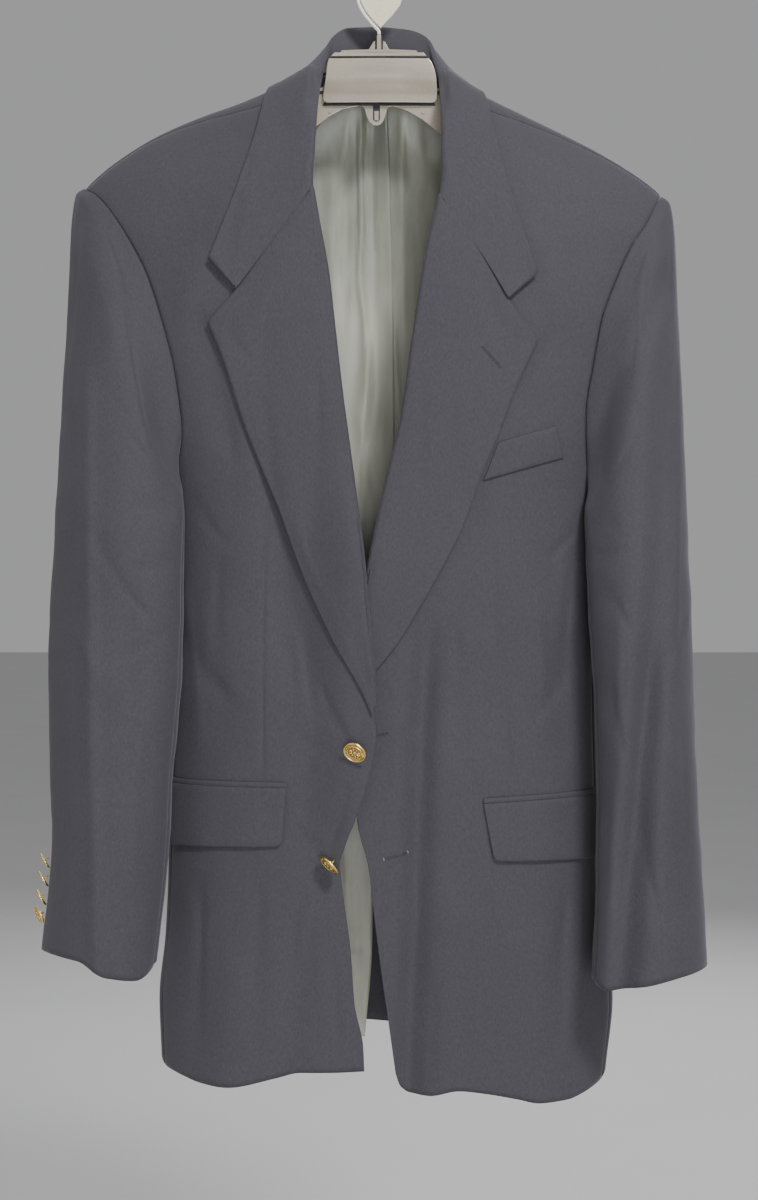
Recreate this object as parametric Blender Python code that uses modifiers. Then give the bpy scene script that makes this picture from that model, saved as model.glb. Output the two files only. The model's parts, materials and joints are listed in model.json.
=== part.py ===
"""A two-button blazer hanging open on a plastic hanger.

The origin is the inside top of the hanger's hook. +X is to the picture's right,
+Y is away from the viewer and +Z is up. The tables are in millimetres, as a cutter
would write them, and MM turns them into metres. "Outward" in a table is the
distance from the centre plane, so the same columns serve the left and right sides.
"""
import math

import bmesh
import bpy
from mathutils import Vector

MM = 0.001

# Cloth
WOOL_WALL = 1.6
LINING_WALL = 1.2
SEAM_GAP = 0.3
LIE = WOOL_WALL + 0.7
LAPEL_LIFT = 4.6

# The torso that the panels are cut to
MID_Y = -8.0
CORNER_POWER = 2.8
FRONT_CAP = 190.0
BACK_CAP = 80.0
SEAM_SHARE = 0.979
NECK_OUT = 65.0
ARMHOLE_GAP = 0.95
SIDE_SEAM_GAP = 0.15
SIDE_SEAM_STEP = 1.3

# Buttons
FRONT_BUTTON_R = 10.0
CUFF_BUTTON_R = 7.5

# Hanger
HANGER_WALL = 2.4
HOOK_R = 1.5

LEFT, RIGHT = -1, 1

# z, how far out the body reaches on the left and on the right
HALF_WIDTH = [
    (-1000, 184, 188), (-945, 184, 192), (-885, 186, 198), (-830, 181, 193),
    (-760, 178, 187), (-600, 174, 183), (-500, 176, 185), (-450, 179, 188),
    (-400, 188, 194), (-350, 203, 206), (-300, 226, 225), (-260, 250, 245),
    (-230, 272, 266), (0, 272, 266),
]
# z, depth of the front and of the back
DEPTHS = [
    (-1000, -72, 54), (-760, -72, 50), (-600, -72, 46), (-400, -71, 46),
    (-250, -67, 44), (-150, -64, 42), (0, -62, 40),
]
# outward, height of the shoulder's ridge on the left and on the right
RIDGE = [
    (0, -72, -72), (60, -96, -100), (85, -110, -116), (119, -125, -133),
    (150, -136, -148), (189, -153, -168), (227, -177, -192), (252, -199, -214),
    (290, -240, -255),
]
# outward, how far the shoulder seam runs below the ridge, on the front
SEAM_DROP = [(0, 18), (68, 18), (130, 9), (200, 3), (300, 1)]


def smooth_slopes(ts, values):
    """Slopes of a curve that passes each value without overshooting it."""
    steps = [(values[i + 1] - values[i]) / (ts[i + 1] - ts[i]) for i in range(len(ts) - 1)]
    slopes = [steps[0]]
    for before, after in zip(steps, steps[1:]):
        slopes.append(2 * before * after / (before + after) if before * after > 0 else 0.0)
    return slopes + [steps[-1]]


def hermite(ts, values, slopes, t):
    t = min(max(t, ts[0]), ts[-1])
    i = max(k for k in range(len(ts) - 1) if ts[k] <= t or k == 0)
    span = ts[i + 1] - ts[i]
    s = (t - ts[i]) / span
    return (
        values[i] * (1 + 2 * s) * (1 - s) ** 2
        + values[i + 1] * s * s * (3 - 2 * s)
        + span * slopes[i] * s * (1 - s) ** 2
        + span * slopes[i + 1] * s * s * (s - 1)
    )


def table(rows, column):
    """A smooth function of the first column that gives another column."""
    ordered = sorted(rows)
    ts = [row[0] for row in ordered]
    values = [row[column] for row in ordered]
    slopes = smooth_slopes(ts, values)
    return lambda t: hermite(ts, values, slopes, t)


def curve(points):
    """A smooth function of 0 to 1 that runs evenly along the points."""
    ts = [0.0]
    for a, b in zip(points, points[1:]):
        ts.append(ts[-1] + math.dist(a, b))
    ts = [t / ts[-1] for t in ts]
    columns = [[p[k] for p in points] for k in range(len(points[0]))]
    slopes = [smooth_slopes(ts, c) for c in columns]
    return lambda t: tuple(hermite(ts, c, m, t) for c, m in zip(columns, slopes))


WIDTH_AT = {LEFT: table(HALF_WIDTH, 1), RIGHT: table(HALF_WIDTH, 2)}
FRONT_AT, BACK_AT = table(DEPTHS, 1), table(DEPTHS, 2)
RIDGE_AT = {LEFT: table(RIDGE, 1), RIGHT: table(RIDGE, 2)}
DROP_AT = table(SEAM_DROP, 1)


def side_of(x):
    return LEFT if x < 0 else RIGHT


def ridge(x):
    return RIDGE_AT[side_of(x)](abs(x))


def torso_y(x, z, back=False):
    """How deep the body lies at x and z, on its front or its back."""
    cap = BACK_CAP if back else FRONT_CAP
    far = BACK_AT(z) if back else FRONT_AT(z)
    share = min(abs(x) / WIDTH_AT[side_of(x)](z), 1.0)
    corner = (1 - share**CORNER_POWER) ** (1 / CORNER_POWER)
    fall = min(max((ridge(x) - z) / cap, 0.0), 1.0)
    shoulder = math.sqrt(1 - (1 - fall) ** 2)
    return MID_Y + (far - MID_Y) * corner * shoulder


def outward_normal(x, z, back=False):
    """The direction that points off the cloth, away from the body."""
    step = 2.0
    here = torso_y(x, z, back)
    slope_x = (torso_y(x + step, z, back) - here) / step
    slope_z = (here - torso_y(x, z - step, back)) / step
    normal = Vector((slope_x, -1.0, slope_z)).normalized()
    return -normal if back else normal


def coons(top, bottom, inner, outer, s, t):
    """A point of the patch between four edges. s runs from inner to outer and t down."""
    ends = [top(0), top(1), bottom(0), bottom(1)]
    weights = [(1 - s) * (1 - t), s * (1 - t), (1 - s) * t, s * t]
    return tuple(
        (1 - t) * top(s)[k] + t * bottom(s)[k] + (1 - s) * inner(t)[k] + s * outer(t)[k]
        - sum(w * e[k] for w, e in zip(weights, ends))
        for k in range(2)
    )


def ease(t):
    t = min(max(t, 0.0), 1.0)
    return t * t * (3 - 2 * t)


# Materials

def material(name, color, roughness, metallic=0.0):
    made = bpy.data.materials.new(name)
    made.use_nodes = True
    shader = made.node_tree.nodes["Principled BSDF"]
    shader.inputs["Base Color"].default_value = (*color, 1)
    shader.inputs["Roughness"].default_value = roughness
    shader.inputs["Metallic"].default_value = metallic
    return made


# Building

def add_object(name, mesh, finish, collection):
    made = bpy.data.objects.new(name, mesh)
    made.data.materials.append(finish)
    collection.objects.link(made)
    return made


def sheet(name, rows, wall, finish, collection):
    """Cloth through rows of points in millimetres, given a wall. None leaves a place open."""
    mesh = bmesh.new()
    grid = [[mesh.verts.new(p * MM) if p is not None else None for p in row] for row in rows]
    for upper, lower in zip(grid, grid[1:]):
        for a, b, c, d in zip(upper, upper[1:], lower[1:], lower):
            if None not in (a, b, c, d):
                mesh.faces.new((a, b, c, d))
    data = bpy.data.meshes.new(name)
    mesh.to_mesh(data)
    mesh.free()
    data.shade_smooth()
    made = add_object(name, data, finish, collection)
    solid = made.modifiers.new("wall", "SOLIDIFY")
    solid.thickness = wall * MM
    solid.offset = 0
    solid.use_even_offset = True
    return made


def even(count, power=1.0):
    return [(k / count) ** power for k in range(count + 1)]


# Armholes. Each row is one point of the seam: outward, z.
# The front half runs from the shoulder's end down to the side seam.
ARMHOLE_FRONT = {
    LEFT: [(250, -198), (238, -207), (223, -225), (208, -248), (193, -277),
           (181, -313), (169, -362), (164, -410), (168, -434), (175, -448)],
    RIGHT: [(240, -205), (236, -211), (223, -234), (210, -254), (195, -287),
            (185, -315), (178, -353), (172, -393), (173, -437), (181, -462)],
}
ARMHOLE_BACK = {
    LEFT: [(250, -198), (236, -212), (220, -240), (205, -280), (195, -325),
           (184, -380), (175, -425), (175, -448)],
    RIGHT: [(240, -205), (232, -218), (218, -246), (204, -286), (197, -330),
            (190, -385), (182, -440), (181, -462)],
}
UNDERARM_Z = {LEFT: -462, RIGHT: -477}

# Front edges and hems, as x and z, from the top down or from the middle outwards.
FRONT_EDGE = {
    LEFT: [(-65, -118), (-60, -150), (-57, -191), (-50, -235), (-42, -280), (-38, -315),
           (-32, -368), (-22, -443), (-13, -512), (-9, -560), (-4, -618), (-4, -643),
           (-2, -658), (-8, -692), (-19, -726), (-29, -753), (-32, -764), (-30, -784),
           (-23, -838), (-20, -879), (-13, -913), (-12, -934)],
    RIGHT: [(65, -124), (60, -152), (55, -190), (50, -215), (40, -259), (28, -335),
            (19, -399), (13, -424), (2, -471), (-9, -524), (-18, -597), (-20, -660),
            (-18, -726), (-8, -771), (-4, -807), (3, -861), (8, -895), (14, -937)],
}
FRONT_HEM = {
    LEFT: [(-12, -934), (-31, -935), (-64, -936), (-85, -941), (-127, -949), (-148, -947),
           (-163, -943), (-180, -938)],
    RIGHT: [(14, -937), (18, -948), (25, -953), (41, -954), (64, -950), (87, -953),
            (113, -958), (133, -962), (156, -961), (170, -957), (188, -949)],
}
SIDE_HEM_Z = {LEFT: (-938, -930, -926), RIGHT: (-949, -941, -936)}
BACK_HEM_Z = {LEFT: (-926, -932), RIGHT: (-936, -918)}
# The back's neck edge between the centre and the shoulder, as outward and z
BACK_NECK = {LEFT: [(20, -89), (40, -93), (57, -97.5)], RIGHT: [(20, -89.5), (40, -95), (57, -101.3)]}
# The centre back: z, x of the left half's edge, x of the right half's edge
CENTRE_BACK = [(-88, -0.5, 0.5), (-600, -0.5, 0.5), (-690, -0.5, 0.5), (-720, -2, 4),
               (-800, -6, 8), (-880, -9, 11), (-940, -13, 14)]

FRONT_COLUMNS, FRONT_ROWS = 13, 24
SIDE_COLUMNS, SIDE_ROWS = 7, 16
NECK_COLUMNS, BACK_ROWS = 4, 18
SIDE_TOP_GAP = 5.0
# How far down its drop to the shoulder seam each row of the back over the ridge lies
LAP_SHARES = (1.0, 0.45, 0.12)
LAP_ROWS = len(LAP_SHARES)

# Large folds: x and z of one end, x and z of the other, half width, depth inwards.
FRONT_FOLDS = {
    LEFT: [(-60, -800, -75, -930, 16, 3.0), (-120, -820, -128, -945, 20, -3.0)],
    RIGHT: [(38, -640, 26, -915, 13, 5.0), (62, -760, 58, -945, 18, -3.0),
            (128, -800, 134, -950, 22, -3.0)],
}
# The left front lies over the right one: how far it is lifted, where it starts and ends.
OVERLAP_LIFT = 8.5
OVERLAP_X = (-62.0, -22.0)
OVERLAP_Z = (-415.0, -505.0, -705.0, -790.0)


def fold_depth(folds, x, z):
    """How far the folds push a point of a panel inwards."""
    depth = 0.0
    for x0, z0, x1, z1, half, deep in folds:
        along = Vector((x1 - x0, z1 - z0))
        at = Vector((x - x0, z - z0))
        share = at.dot(along) / along.length_squared
        off = (at - along * share).length
        fade = ease(share / 0.3) * (1 if share < 1 else 0) if share < 1 else 1.0
        depth += deep * math.exp(-((off / half) ** 2)) * fade
    return depth


def overlap(x, z):
    across = ease((x - OVERLAP_X[0]) / (OVERLAP_X[1] - OVERLAP_X[0]))
    start, full, still, end = OVERLAP_Z
    down = ease((start - z) / (start - full)) * ease((z - end) / (still - end))
    return OVERLAP_LIFT * across * down


def front_point(side, x, z, off=0.0):
    """A point of a front, moved out from its cloth by off."""
    y = torso_y(x, z) + fold_depth(FRONT_FOLDS[side], x, z)
    if side == LEFT:
        y -= overlap(x, z)
    return Vector((x, y, z)) + outward_normal(x, z) * off


def seam_x(side, z):
    return side * WIDTH_AT[side](z) * SEAM_SHARE


def side_seam(side, z_top, z_hem, inset):
    steps = 8
    zs = [z_top + (z_hem - z_top) * k / steps for k in range(1, steps + 1)]
    return [(seam_x(side, z) - side * inset, z) for z in zs]


def shoulder_x(side, s):
    """Where a column of the front or the back meets the shoulder seam."""
    tip = ARMHOLE_FRONT[side][0][0] - ARMHOLE_GAP
    return side * (NECK_OUT + (tip - NECK_OUT) * s)


def front_rows(side):
    def top(s):
        x = shoulder_x(side, s)
        return x, ridge(x) - DROP_AT(abs(x)) - SEAM_GAP

    gap = SIDE_SEAM_GAP
    hem = curve(FRONT_HEM[side][:-1] + [(seam_x(side, FRONT_HEM[side][-1][1]) - side * gap,
                                         FRONT_HEM[side][-1][1])])
    armhole = [(side * (out - ARMHOLE_GAP), z) for out, z in ARMHOLE_FRONT[side]]
    armhole[0] = top(1)
    seam = side_seam(side, armhole[-1][1], FRONT_HEM[side][-1][1], gap)
    edge = curve([top(0)] + [(x + tuck(side, z), z) for x, z in FRONT_EDGE[side][1:]])
    outer = curve(armhole[:-1] + [(seam_x(side, armhole[-1][1]) - side * gap, armhole[-1][1])] + seam)
    rows = []
    for t in even(FRONT_ROWS, 1.65):
        flat = [coons(top, hem, edge, outer, s, t) for s in even(FRONT_COLUMNS)]
        rows.append([front_point(side, x, z) for x, z in flat])
    return rows


def beside(edge, z, step):
    """The point at height z of a neighbour's edge, moved by step. The edge runs down."""
    for upper, lower in zip(edge, edge[1:]):
        if lower.z <= z or lower is edge[-1]:
            share = (upper.z - z) / (upper.z - lower.z)
            return upper.lerp(lower, share) + step


def side_rows(side):
    """The side body, round the corner from the front seam to the back seam."""
    front_z, back_z = (rows[-1][1] - SIDE_TOP_GAP for rows in (ARMHOLE_FRONT[side], ARMHOLE_BACK[side]))
    low = UNDERARM_Z[side]
    hem_front, hem_mid, hem_back = SIDE_HEM_Z[side]
    front_edge = [row[-1] for row in front_rows(side)]
    back_edge = [row[-1] for row in back_rows(side)]
    rows = []
    for t in even(SIDE_ROWS):
        row = []
        for k in range(SIDE_COLUMNS + 1):
            i = 2 * k / SIDE_COLUMNS - 1
            top = low + ((front_z if i < 0 else back_z) - low) * i * i
            hem = hem_mid + ((hem_front if i < 0 else hem_back) - hem_mid) * i * i
            z = top + (hem - top) * t
            share = 1 - (1 - SEAM_SHARE) * abs(i) ** CORNER_POWER * 0.95
            x = side * WIDTH_AT[side](z) * share
            row.append(Vector((x, torso_y(x, z, back=i > 0), z)))
        row[0] = beside(front_edge, row[0].z, Vector((side * 0.34, 0.94, 0)) * SIDE_SEAM_STEP)
        row[-1] = beside(back_edge, row[-1].z, Vector((side * 0.34, -0.94, 0)) * SIDE_SEAM_STEP)
        rows.append(row)
    return rows


def back_rows(side):
    """A back, from the shoulder seam over the ridge and down."""
    centre = table(CENTRE_BACK, 1 if side == LEFT else 2)
    hem_side, hem_centre = BACK_HEM_Z[side]
    neck = curve([(side * 0.5, -88)] + [(side * out, z) for out, z in BACK_NECK[side]]
                 + [(side * NECK_OUT, ridge(side * NECK_OUT))])
    neck_share = NECK_COLUMNS / (NECK_COLUMNS + FRONT_COLUMNS)

    def top(s):
        if s < neck_share:
            return neck(s / neck_share)
        x = shoulder_x(side, (s - neck_share) / (1 - neck_share))
        return x, ridge(x)

    outer_points = [(side * (out - ARMHOLE_GAP), z) for out, z in ARMHOLE_BACK[side]]
    outer_points[0] = top(1)
    last_z = outer_points[-1][1]
    outer_points[-1] = (seam_x(side, last_z) - side * SIDE_SEAM_GAP, last_z)
    outer = curve(outer_points + side_seam(side, last_z, hem_side, SIDE_SEAM_GAP))
    hem_out = outer(1)
    hem_in = (centre(hem_centre), hem_centre)

    def bottom(s):
        return tuple(a + (b - a) * s for a, b in zip(hem_in, hem_out))

    def inner(t):
        z = -88 + (hem_centre + 88) * t
        return centre(z), z

    rows = []
    shares = even(NECK_COLUMNS + FRONT_COLUMNS)
    for lap in LAP_SHARES:
        row = []
        for s in shares:
            x, z = top(s)
            drop = (DROP_AT(abs(x)) - SEAM_GAP) * lap
            on_shoulder = s > neck_share - 0.001
            row.append(Vector((x, torso_y(x, z - drop), z - drop)) if on_shoulder else None)
        rows.append(row)
    for t in even(BACK_ROWS, 2.2):
        flat = [coons(top, bottom, inner, outer, s, t) for s in shares]
        rows.append([Vector((x, torso_y(x, z, back=True), z)) for x, z in flat])
    return rows


# Sleeves. A row is a section: the outer and the inner rail as outward, y, z, then how
# far the section reaches to the front and to the back, and how far it bows to the body.
SLEEVE = {
    LEFT: [
        (250, -8, -196, 181.5, -8, -459, 44, 40, 15), (257, -8, -200, 181.5, -14, -463, 46, 40, 14),
        (261, -12, -226, 181.5, -27, -474, 47, 40, 10), (263, -20, -300, 178, -41, -492, 46, 40, 6),
        (266, -32, -390, 169, -54, -516, 44, 40, 2), (270, -44, -500, 163, -64, -556, 42, 42, 0),
        (273, -52, -585, 163, -68, -610, 42, 40, 0), (271, -60, -665, 169, -72, -678, 42, 38, 0),
        (268, -66, -750, 173, -76, -756, 41, 36, 0), (276, -68, -838, 182, -80, -846, 40, 34, 0),
    ],
    RIGHT: [
        (240, -8, -203, 189.5, -8, -475, 44, 40, 15), (247, -8, -208, 189.5, -14, -479, 46, 40, 14),
        (251, -12, -236, 189.5, -27, -488, 48, 40, 10), (253, -20, -310, 187, -42, -504, 48, 42, 6),
        (255, -32, -400, 180, -55, -526, 47, 44, 2), (257, -44, -500, 175, -66, -562, 46, 46, 0),
        (259, -52, -585, 177, -70, -614, 46, 46, 0), (260, -60, -665, 179, -74, -684, 45, 44, 0),
        (264, -66, -760, 178, -78, -772, 43, 40, 0), (268, -70, -848, 174, -84, -862, 41, 36, 0),
    ],
}
# Degrees round the section from the outer rail over the front, and the hem's drop there
CUFF_HEM = {
    LEFT: [(-20, 0), (40, 1), (75, -2), (105, -17), (135, -19), (175, -4), (250, 8), (340, 2)],
    RIGHT: [(-20, 0), (20, -6), (60, -6), (100, -8), (140, -10), (175, 3), (250, 8), (340, 2)],
}
SLEEVE_FOLDS = {
    LEFT: [(-252, -290, -240, -640, 14, -3.0), (-205, -520, -196, -640, 16, 2.5)],
    RIGHT: [(243, -320, 222, -560, 12, 4.5), (221, -560, 201, -760, 11, 5.0),
            (246, -262, 230, -300, 10, 3.0)],
}
BACK_SEAM_DEGREES = {LEFT: -14.0, RIGHT: -52.0}
FRONT_SEAM_DEGREES = 168.0
SEAM_TURN = 0.45
SLEEVE_ROWS = 17
TOP_COLUMNS, UNDER_COLUMNS = 12, 9
SLEEVE_HEAD_GAP = 1.3
SLEEVE_STAND = 1.4


def armhole_loop(side):
    """The armhole as a closed loop of 0 to 1, from the shoulder's end over the front."""
    low = (side * WIDTH_AT[side](UNDERARM_Z[side]), MID_Y, UNDERARM_Z[side])
    front = [(side * o, torso_y(side * o, z), z) for o, z in ARMHOLE_FRONT[side]] + [low]
    back = [(side * o, torso_y(side * o, z, True), z) for o, z in ARMHOLE_BACK[side]] + [low]
    down, up = curve(front), curve(back)

    def at(turn):
        turn %= 1.0
        point = Vector(down(2 * turn) if turn <= 0.5 else up(2 - 2 * turn))
        out = Vector((side * 0.7, -0.9 if turn <= 0.5 else 0.9, 0.0))
        middle = Vector((side, 0, 0.6))
        mix = 1 - abs(4 * turn - 1 - (2 if turn > 0.5 else 0))
        aim = (middle.lerp(out, ease(mix * 1.6))).normalized()
        return point + aim * (SLEEVE_HEAD_GAP + SLEEVE_STAND * ease(min(turn, 1 - turn) / 0.1))

    return at


def sleeve_section(side, at, degrees):
    """A point of the sleeve. at is a row of the table, with fractions between rows."""
    columns = [f(at) for f in SLEEVE_AT[side]]
    outer = Vector((side * columns[0], columns[1], columns[2]))
    inner = Vector((side * columns[3], columns[4], columns[5]))
    angle = math.radians(degrees)
    reach = -columns[6] if math.sin(angle) > 0 else columns[7]
    half = (outer - inner) / 2
    bow = Vector((-side * abs(half.z), 0, -abs(half.x))).normalized() * columns[8]
    return (
        (outer + inner) / 2 + half * math.cos(angle)
        + Vector((0, reach, 0)) * abs(math.sin(angle)) + bow * math.sin(angle) ** 2
    )


SLEEVE_AT = {
    side: [table([(k,) + row for k, row in enumerate(SLEEVE[side])], c) for c in range(1, 10)]
    for side in (LEFT, RIGHT)
}
CUFF_AT = {side: table(CUFF_HEM[side], 1) for side in (LEFT, RIGHT)}


def sleeve_point(side, loop, at, degrees):
    last = len(SLEEVE[side]) - 1
    point = sleeve_section(side, at, degrees)
    start = loop(degrees / 360) - sleeve_section(side, 0, degrees)
    point += start * max(0.0, 1 - at / (2.8 + 1.2 * math.cos(math.radians(degrees)))) ** 2
    turned = degrees if degrees <= 340 else degrees - 360
    point.z += CUFF_AT[side](turned) * ease((at - last + 1.6) / 1.6)
    if 0 < degrees < 180:
        point.y += fold_depth(SLEEVE_FOLDS[side], point.x, point.z) * math.sin(math.radians(degrees))
    return point


def sleeve_rows(side, first, last, columns):
    loop = armhole_loop(side)
    end = len(SLEEVE[side]) - 1
    rows = []
    for t in even(SLEEVE_ROWS, 1.1):
        row = []
        for s in even(columns):
            degrees = first + SEAM_TURN + (last - first - 2 * SEAM_TURN) * s
            row.append(sleeve_point(side, loop, t * end, degrees))
        rows.append(row)
    return rows


# Lapels, as outward and z. The gorge is the seam to the collar.
GORGE = {LEFT: [(54, -207), (84, -247), (117, -292)], RIGHT: [(50, -214), (79, -255), (106, -300)]}
LAPEL_TIP = {LEFT: (141, -319), RIGHT: (131, -335)}
LAPEL_EDGE = {
    LEFT: [(141, -319), (127, -353), (113, -397), (99, -433), (82, -474), (63, -526), (38, -580),
           (12, -626)],
    RIGHT: [(131, -335), (114, -371), (98, -413), (85, -444), (67, -492), (41, -541), (14, -585),
            (-8, -612)],
}
BREAK_Z = {LEFT: -634, RIGHT: -618}
ROLL_R = LAPEL_LIFT / 2
ROLL_GAP = 1.0
# How much of the lapel's top and of the fall's end lies along the gorge, before the notch
CORNER_SHARE = 0.78
EDGE_TUCK = 2.6
LAPEL_COLUMNS, LAPEL_ROWS = 6, 16


def edge_at(side):
    """The visible front edge, as x for a height."""
    return table([(z, x) for x, z in FRONT_EDGE[side]], 1)


EDGE_AT = {side: edge_at(side) for side in (LEFT, RIGHT)}


def tuck(side, z):
    """How far the front's own cloth stops behind the rolled edge."""
    return side * EDGE_TUCK * ease((z - BREAK_Z[side]) / 40)


def roll_point(side, cloth_edge, z, degrees):
    """A point of the cloth that rolls round a front's edge, from 180 behind to 0 on top."""
    at_edge = beside(cloth_edge, z, Vector())
    fade = ease((z - BREAK_Z[side]) / 40)
    angle = math.radians(degrees)
    inward = Vector((-side * (ROLL_GAP + ROLL_R * math.sin(angle) * fade), 0, 0))
    off = ROLL_R * (1 + math.cos(angle)) * fade + (1 - fade) * (LIE + 0.6)
    return at_edge + inward + outward_normal(at_edge.x, z) * off


def lapel_rows(side):
    roll = [(x, z) for x, z in FRONT_EDGE[side] if BREAK_Z[side] + 6 < z < GORGE[side][0][1] - 4]
    start = (side * GORGE[side][0][0], GORGE[side][0][1] - GORGE_GAP)
    roll_end = (EDGE_AT[side](BREAK_Z[side]), BREAK_Z[side])
    gorge = curve([(side * o, z - GORGE_GAP) for o, z in GORGE[side]])
    notch, tip = gorge(1), (side * LAPEL_TIP[side][0], LAPEL_TIP[side][1])

    def top(s):
        if s <= CORNER_SHARE:
            return gorge(s / CORNER_SHARE)
        share = (s - CORNER_SHARE) / (1 - CORNER_SHARE)
        return tuple(a + (b - a) * share for a, b in zip(notch, tip))

    inner = curve([start] + roll + [roll_end])
    outer = curve([(side * o, z) for o, z in LAPEL_EDGE[side]] + [(roll_end[0] + side * 3, roll_end[1] - 3)])

    def bottom(s):
        return tuple(a + (b - a) * s for a, b in zip(inner(1), outer(1)))

    cloth_edge = [row[0] for row in front_rows(side)]
    rows = []
    for t in even(LAPEL_ROWS):
        edge_z = inner(t)[1]
        panel_x = beside(cloth_edge, edge_z, Vector()).x - side * ROLL_GAP
        fade = ease((edge_z - BREAK_Z[side]) / 40)
        row = [roll_point(side, cloth_edge, edge_z, degrees) for degrees in (180, 120, 60)]
        for k, s in enumerate(even(LAPEL_COLUMNS)):
            x, z = coons(top, bottom, inner, outer, s, t)
            if k == 0:
                x = panel_x
            off = LIE + 0.6 + (LAPEL_LIFT - LIE - 0.6) * (1 - ease(s * 1.4)) * fade
            row.append(front_point(side, x, z, off))
        rows.append(row)
    return rows


# The collar. A row is a station from the centre back to the gorge: the stand's foot as
# outward, z and 1 on the back, the top of the roll, then the fall's edge, each as outward, y, z.
COLLAR = {
    LEFT: [
        (0, 0, -88, 1, 0, 28, -47, 0, 42, -99), (1, 20, -89, 1, 27, 26, -49, 30, 41, -101),
        (2, 40, -93, 1, 40, 19, -59, 57, 34, -105), (3, 57, -97.5, 1, 46, 4, -80, 77, 16, -110),
        (3.5, 65, -98.5, 1, 48, -6, -93, 84, 4, -113),
        (4, 65, -110, 0, 49.5, -16, -106, 91, -8, -118),
        (5, 60, -150, 0, 52.5, -42, -151, 102, -36, -160),
        (6, 57, -191, 0, 54, -56, -191, 117, -50, -206),
        (7, 54, -205, 0, 53.7, -58, -205, 140, -64, -267),
    ],
    RIGHT: [
        (0, 0, -88, 1, 0, 28, -47, 0, 42, -99), (1, 20, -89.5, 1, 28, 26, -51, 30, 41, -102),
        (2, 40, -95, 1, 43, 19, -61, 57, 34, -106), (3, 57, -101.3, 1, 48, 4, -82, 74, 16, -112),
        (3.5, 65, -102.5, 1, 50, -6, -95, 80, 4, -115),
        (4, 65, -114, 0, 51.5, -16, -108, 86, -8, -120),
        (5, 60, -152, 0, 52.5, -42, -154, 95, -36, -156),
        (6, 55, -190, 0, 51.5, -56, -191, 108, -50, -208),
        (7, 50, -212, 0, 50, -58, -212, 130, -64, -280),
    ],
}
# For each station: towards the neck from the seam, then from the stand to the fall, as
# inward or outward, y, z
COLLAR_TURN = [(0, 0, -0.6, 0.8, 0, 1, 0.3), (1, 0.2, -0.6, 0.8, 0.1, 0.95, 0.35),
               (2, 0.5, -0.4, 0.8, 0.4, 0.75, 0.5), (3, 0.8, -0.35, 0.9, 0.5, 0.35, 0.8),
               (3.5, 0.9, -0.1, 0.7, 0.45, 0, 0.9), (4, 1, 0, 0.2, 0.4, -0.4, 0.85),
               (5, 1, 0, 0, 0.15, -0.9, 0.35), (7, 1, 0, 0, 0, -1, 0.1)]
COLLAR_STEPS = 21
FOOT_INSET = 2.6
SHOULDER_LIFT = 1.5
GORGE_GAP = 0.5
FALL_SHARES = (0.14, 0.34, 0.56, 0.78, 1.0)


def pushed_out(point, off):
    """The point, or where it would lie in the body, the place just off the body's cloth."""
    back = point.y > MID_Y
    cap = BACK_CAP if back else FRONT_CAP
    far = BACK_AT(point.z) if back else FRONT_AT(point.z)
    foot = ridge(point.x) - cap
    if point.z <= foot:
        y = torso_y(point.x, point.z, back)
        clear = max(point.y, y + off) if back else min(point.y, y - off)
        return Vector((point.x, clear, point.z))
    deep = far - MID_Y
    from_centre = Vector((0, point.y - MID_Y, point.z - foot))
    on_cloth = from_centre / math.hypot(from_centre.y / deep, from_centre.z / cap)
    normal = Vector((0, on_cloth.y / deep**2, on_cloth.z / cap**2)).normalized()
    if (from_centre - on_cloth).dot(normal) >= off:
        return point
    return Vector((point.x, MID_Y, foot)) + on_cloth + normal * off


def neck_edge(side):
    """The neck's edge, from the centre back over the shoulder and down the front."""
    back, front = back_rows(side), front_rows(side)
    over = [row[NECK_COLUMNS] for row in reversed(back[:LAP_ROWS])]
    return back[LAP_ROWS][:NECK_COLUMNS + 1] + over + [row[0] for row in front]


def nearest(edge, point):
    """The place of an edge that lies nearest to a point."""
    places = []
    for a, b in zip(edge, edge[1:]):
        along = b - a
        share = min(max((point - a).dot(along) / max(along.length_squared, 1e-9), 0.0), 1.0)
        places.append(a + along * share)
    return min(places, key=lambda place: (place - point).length)


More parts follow.
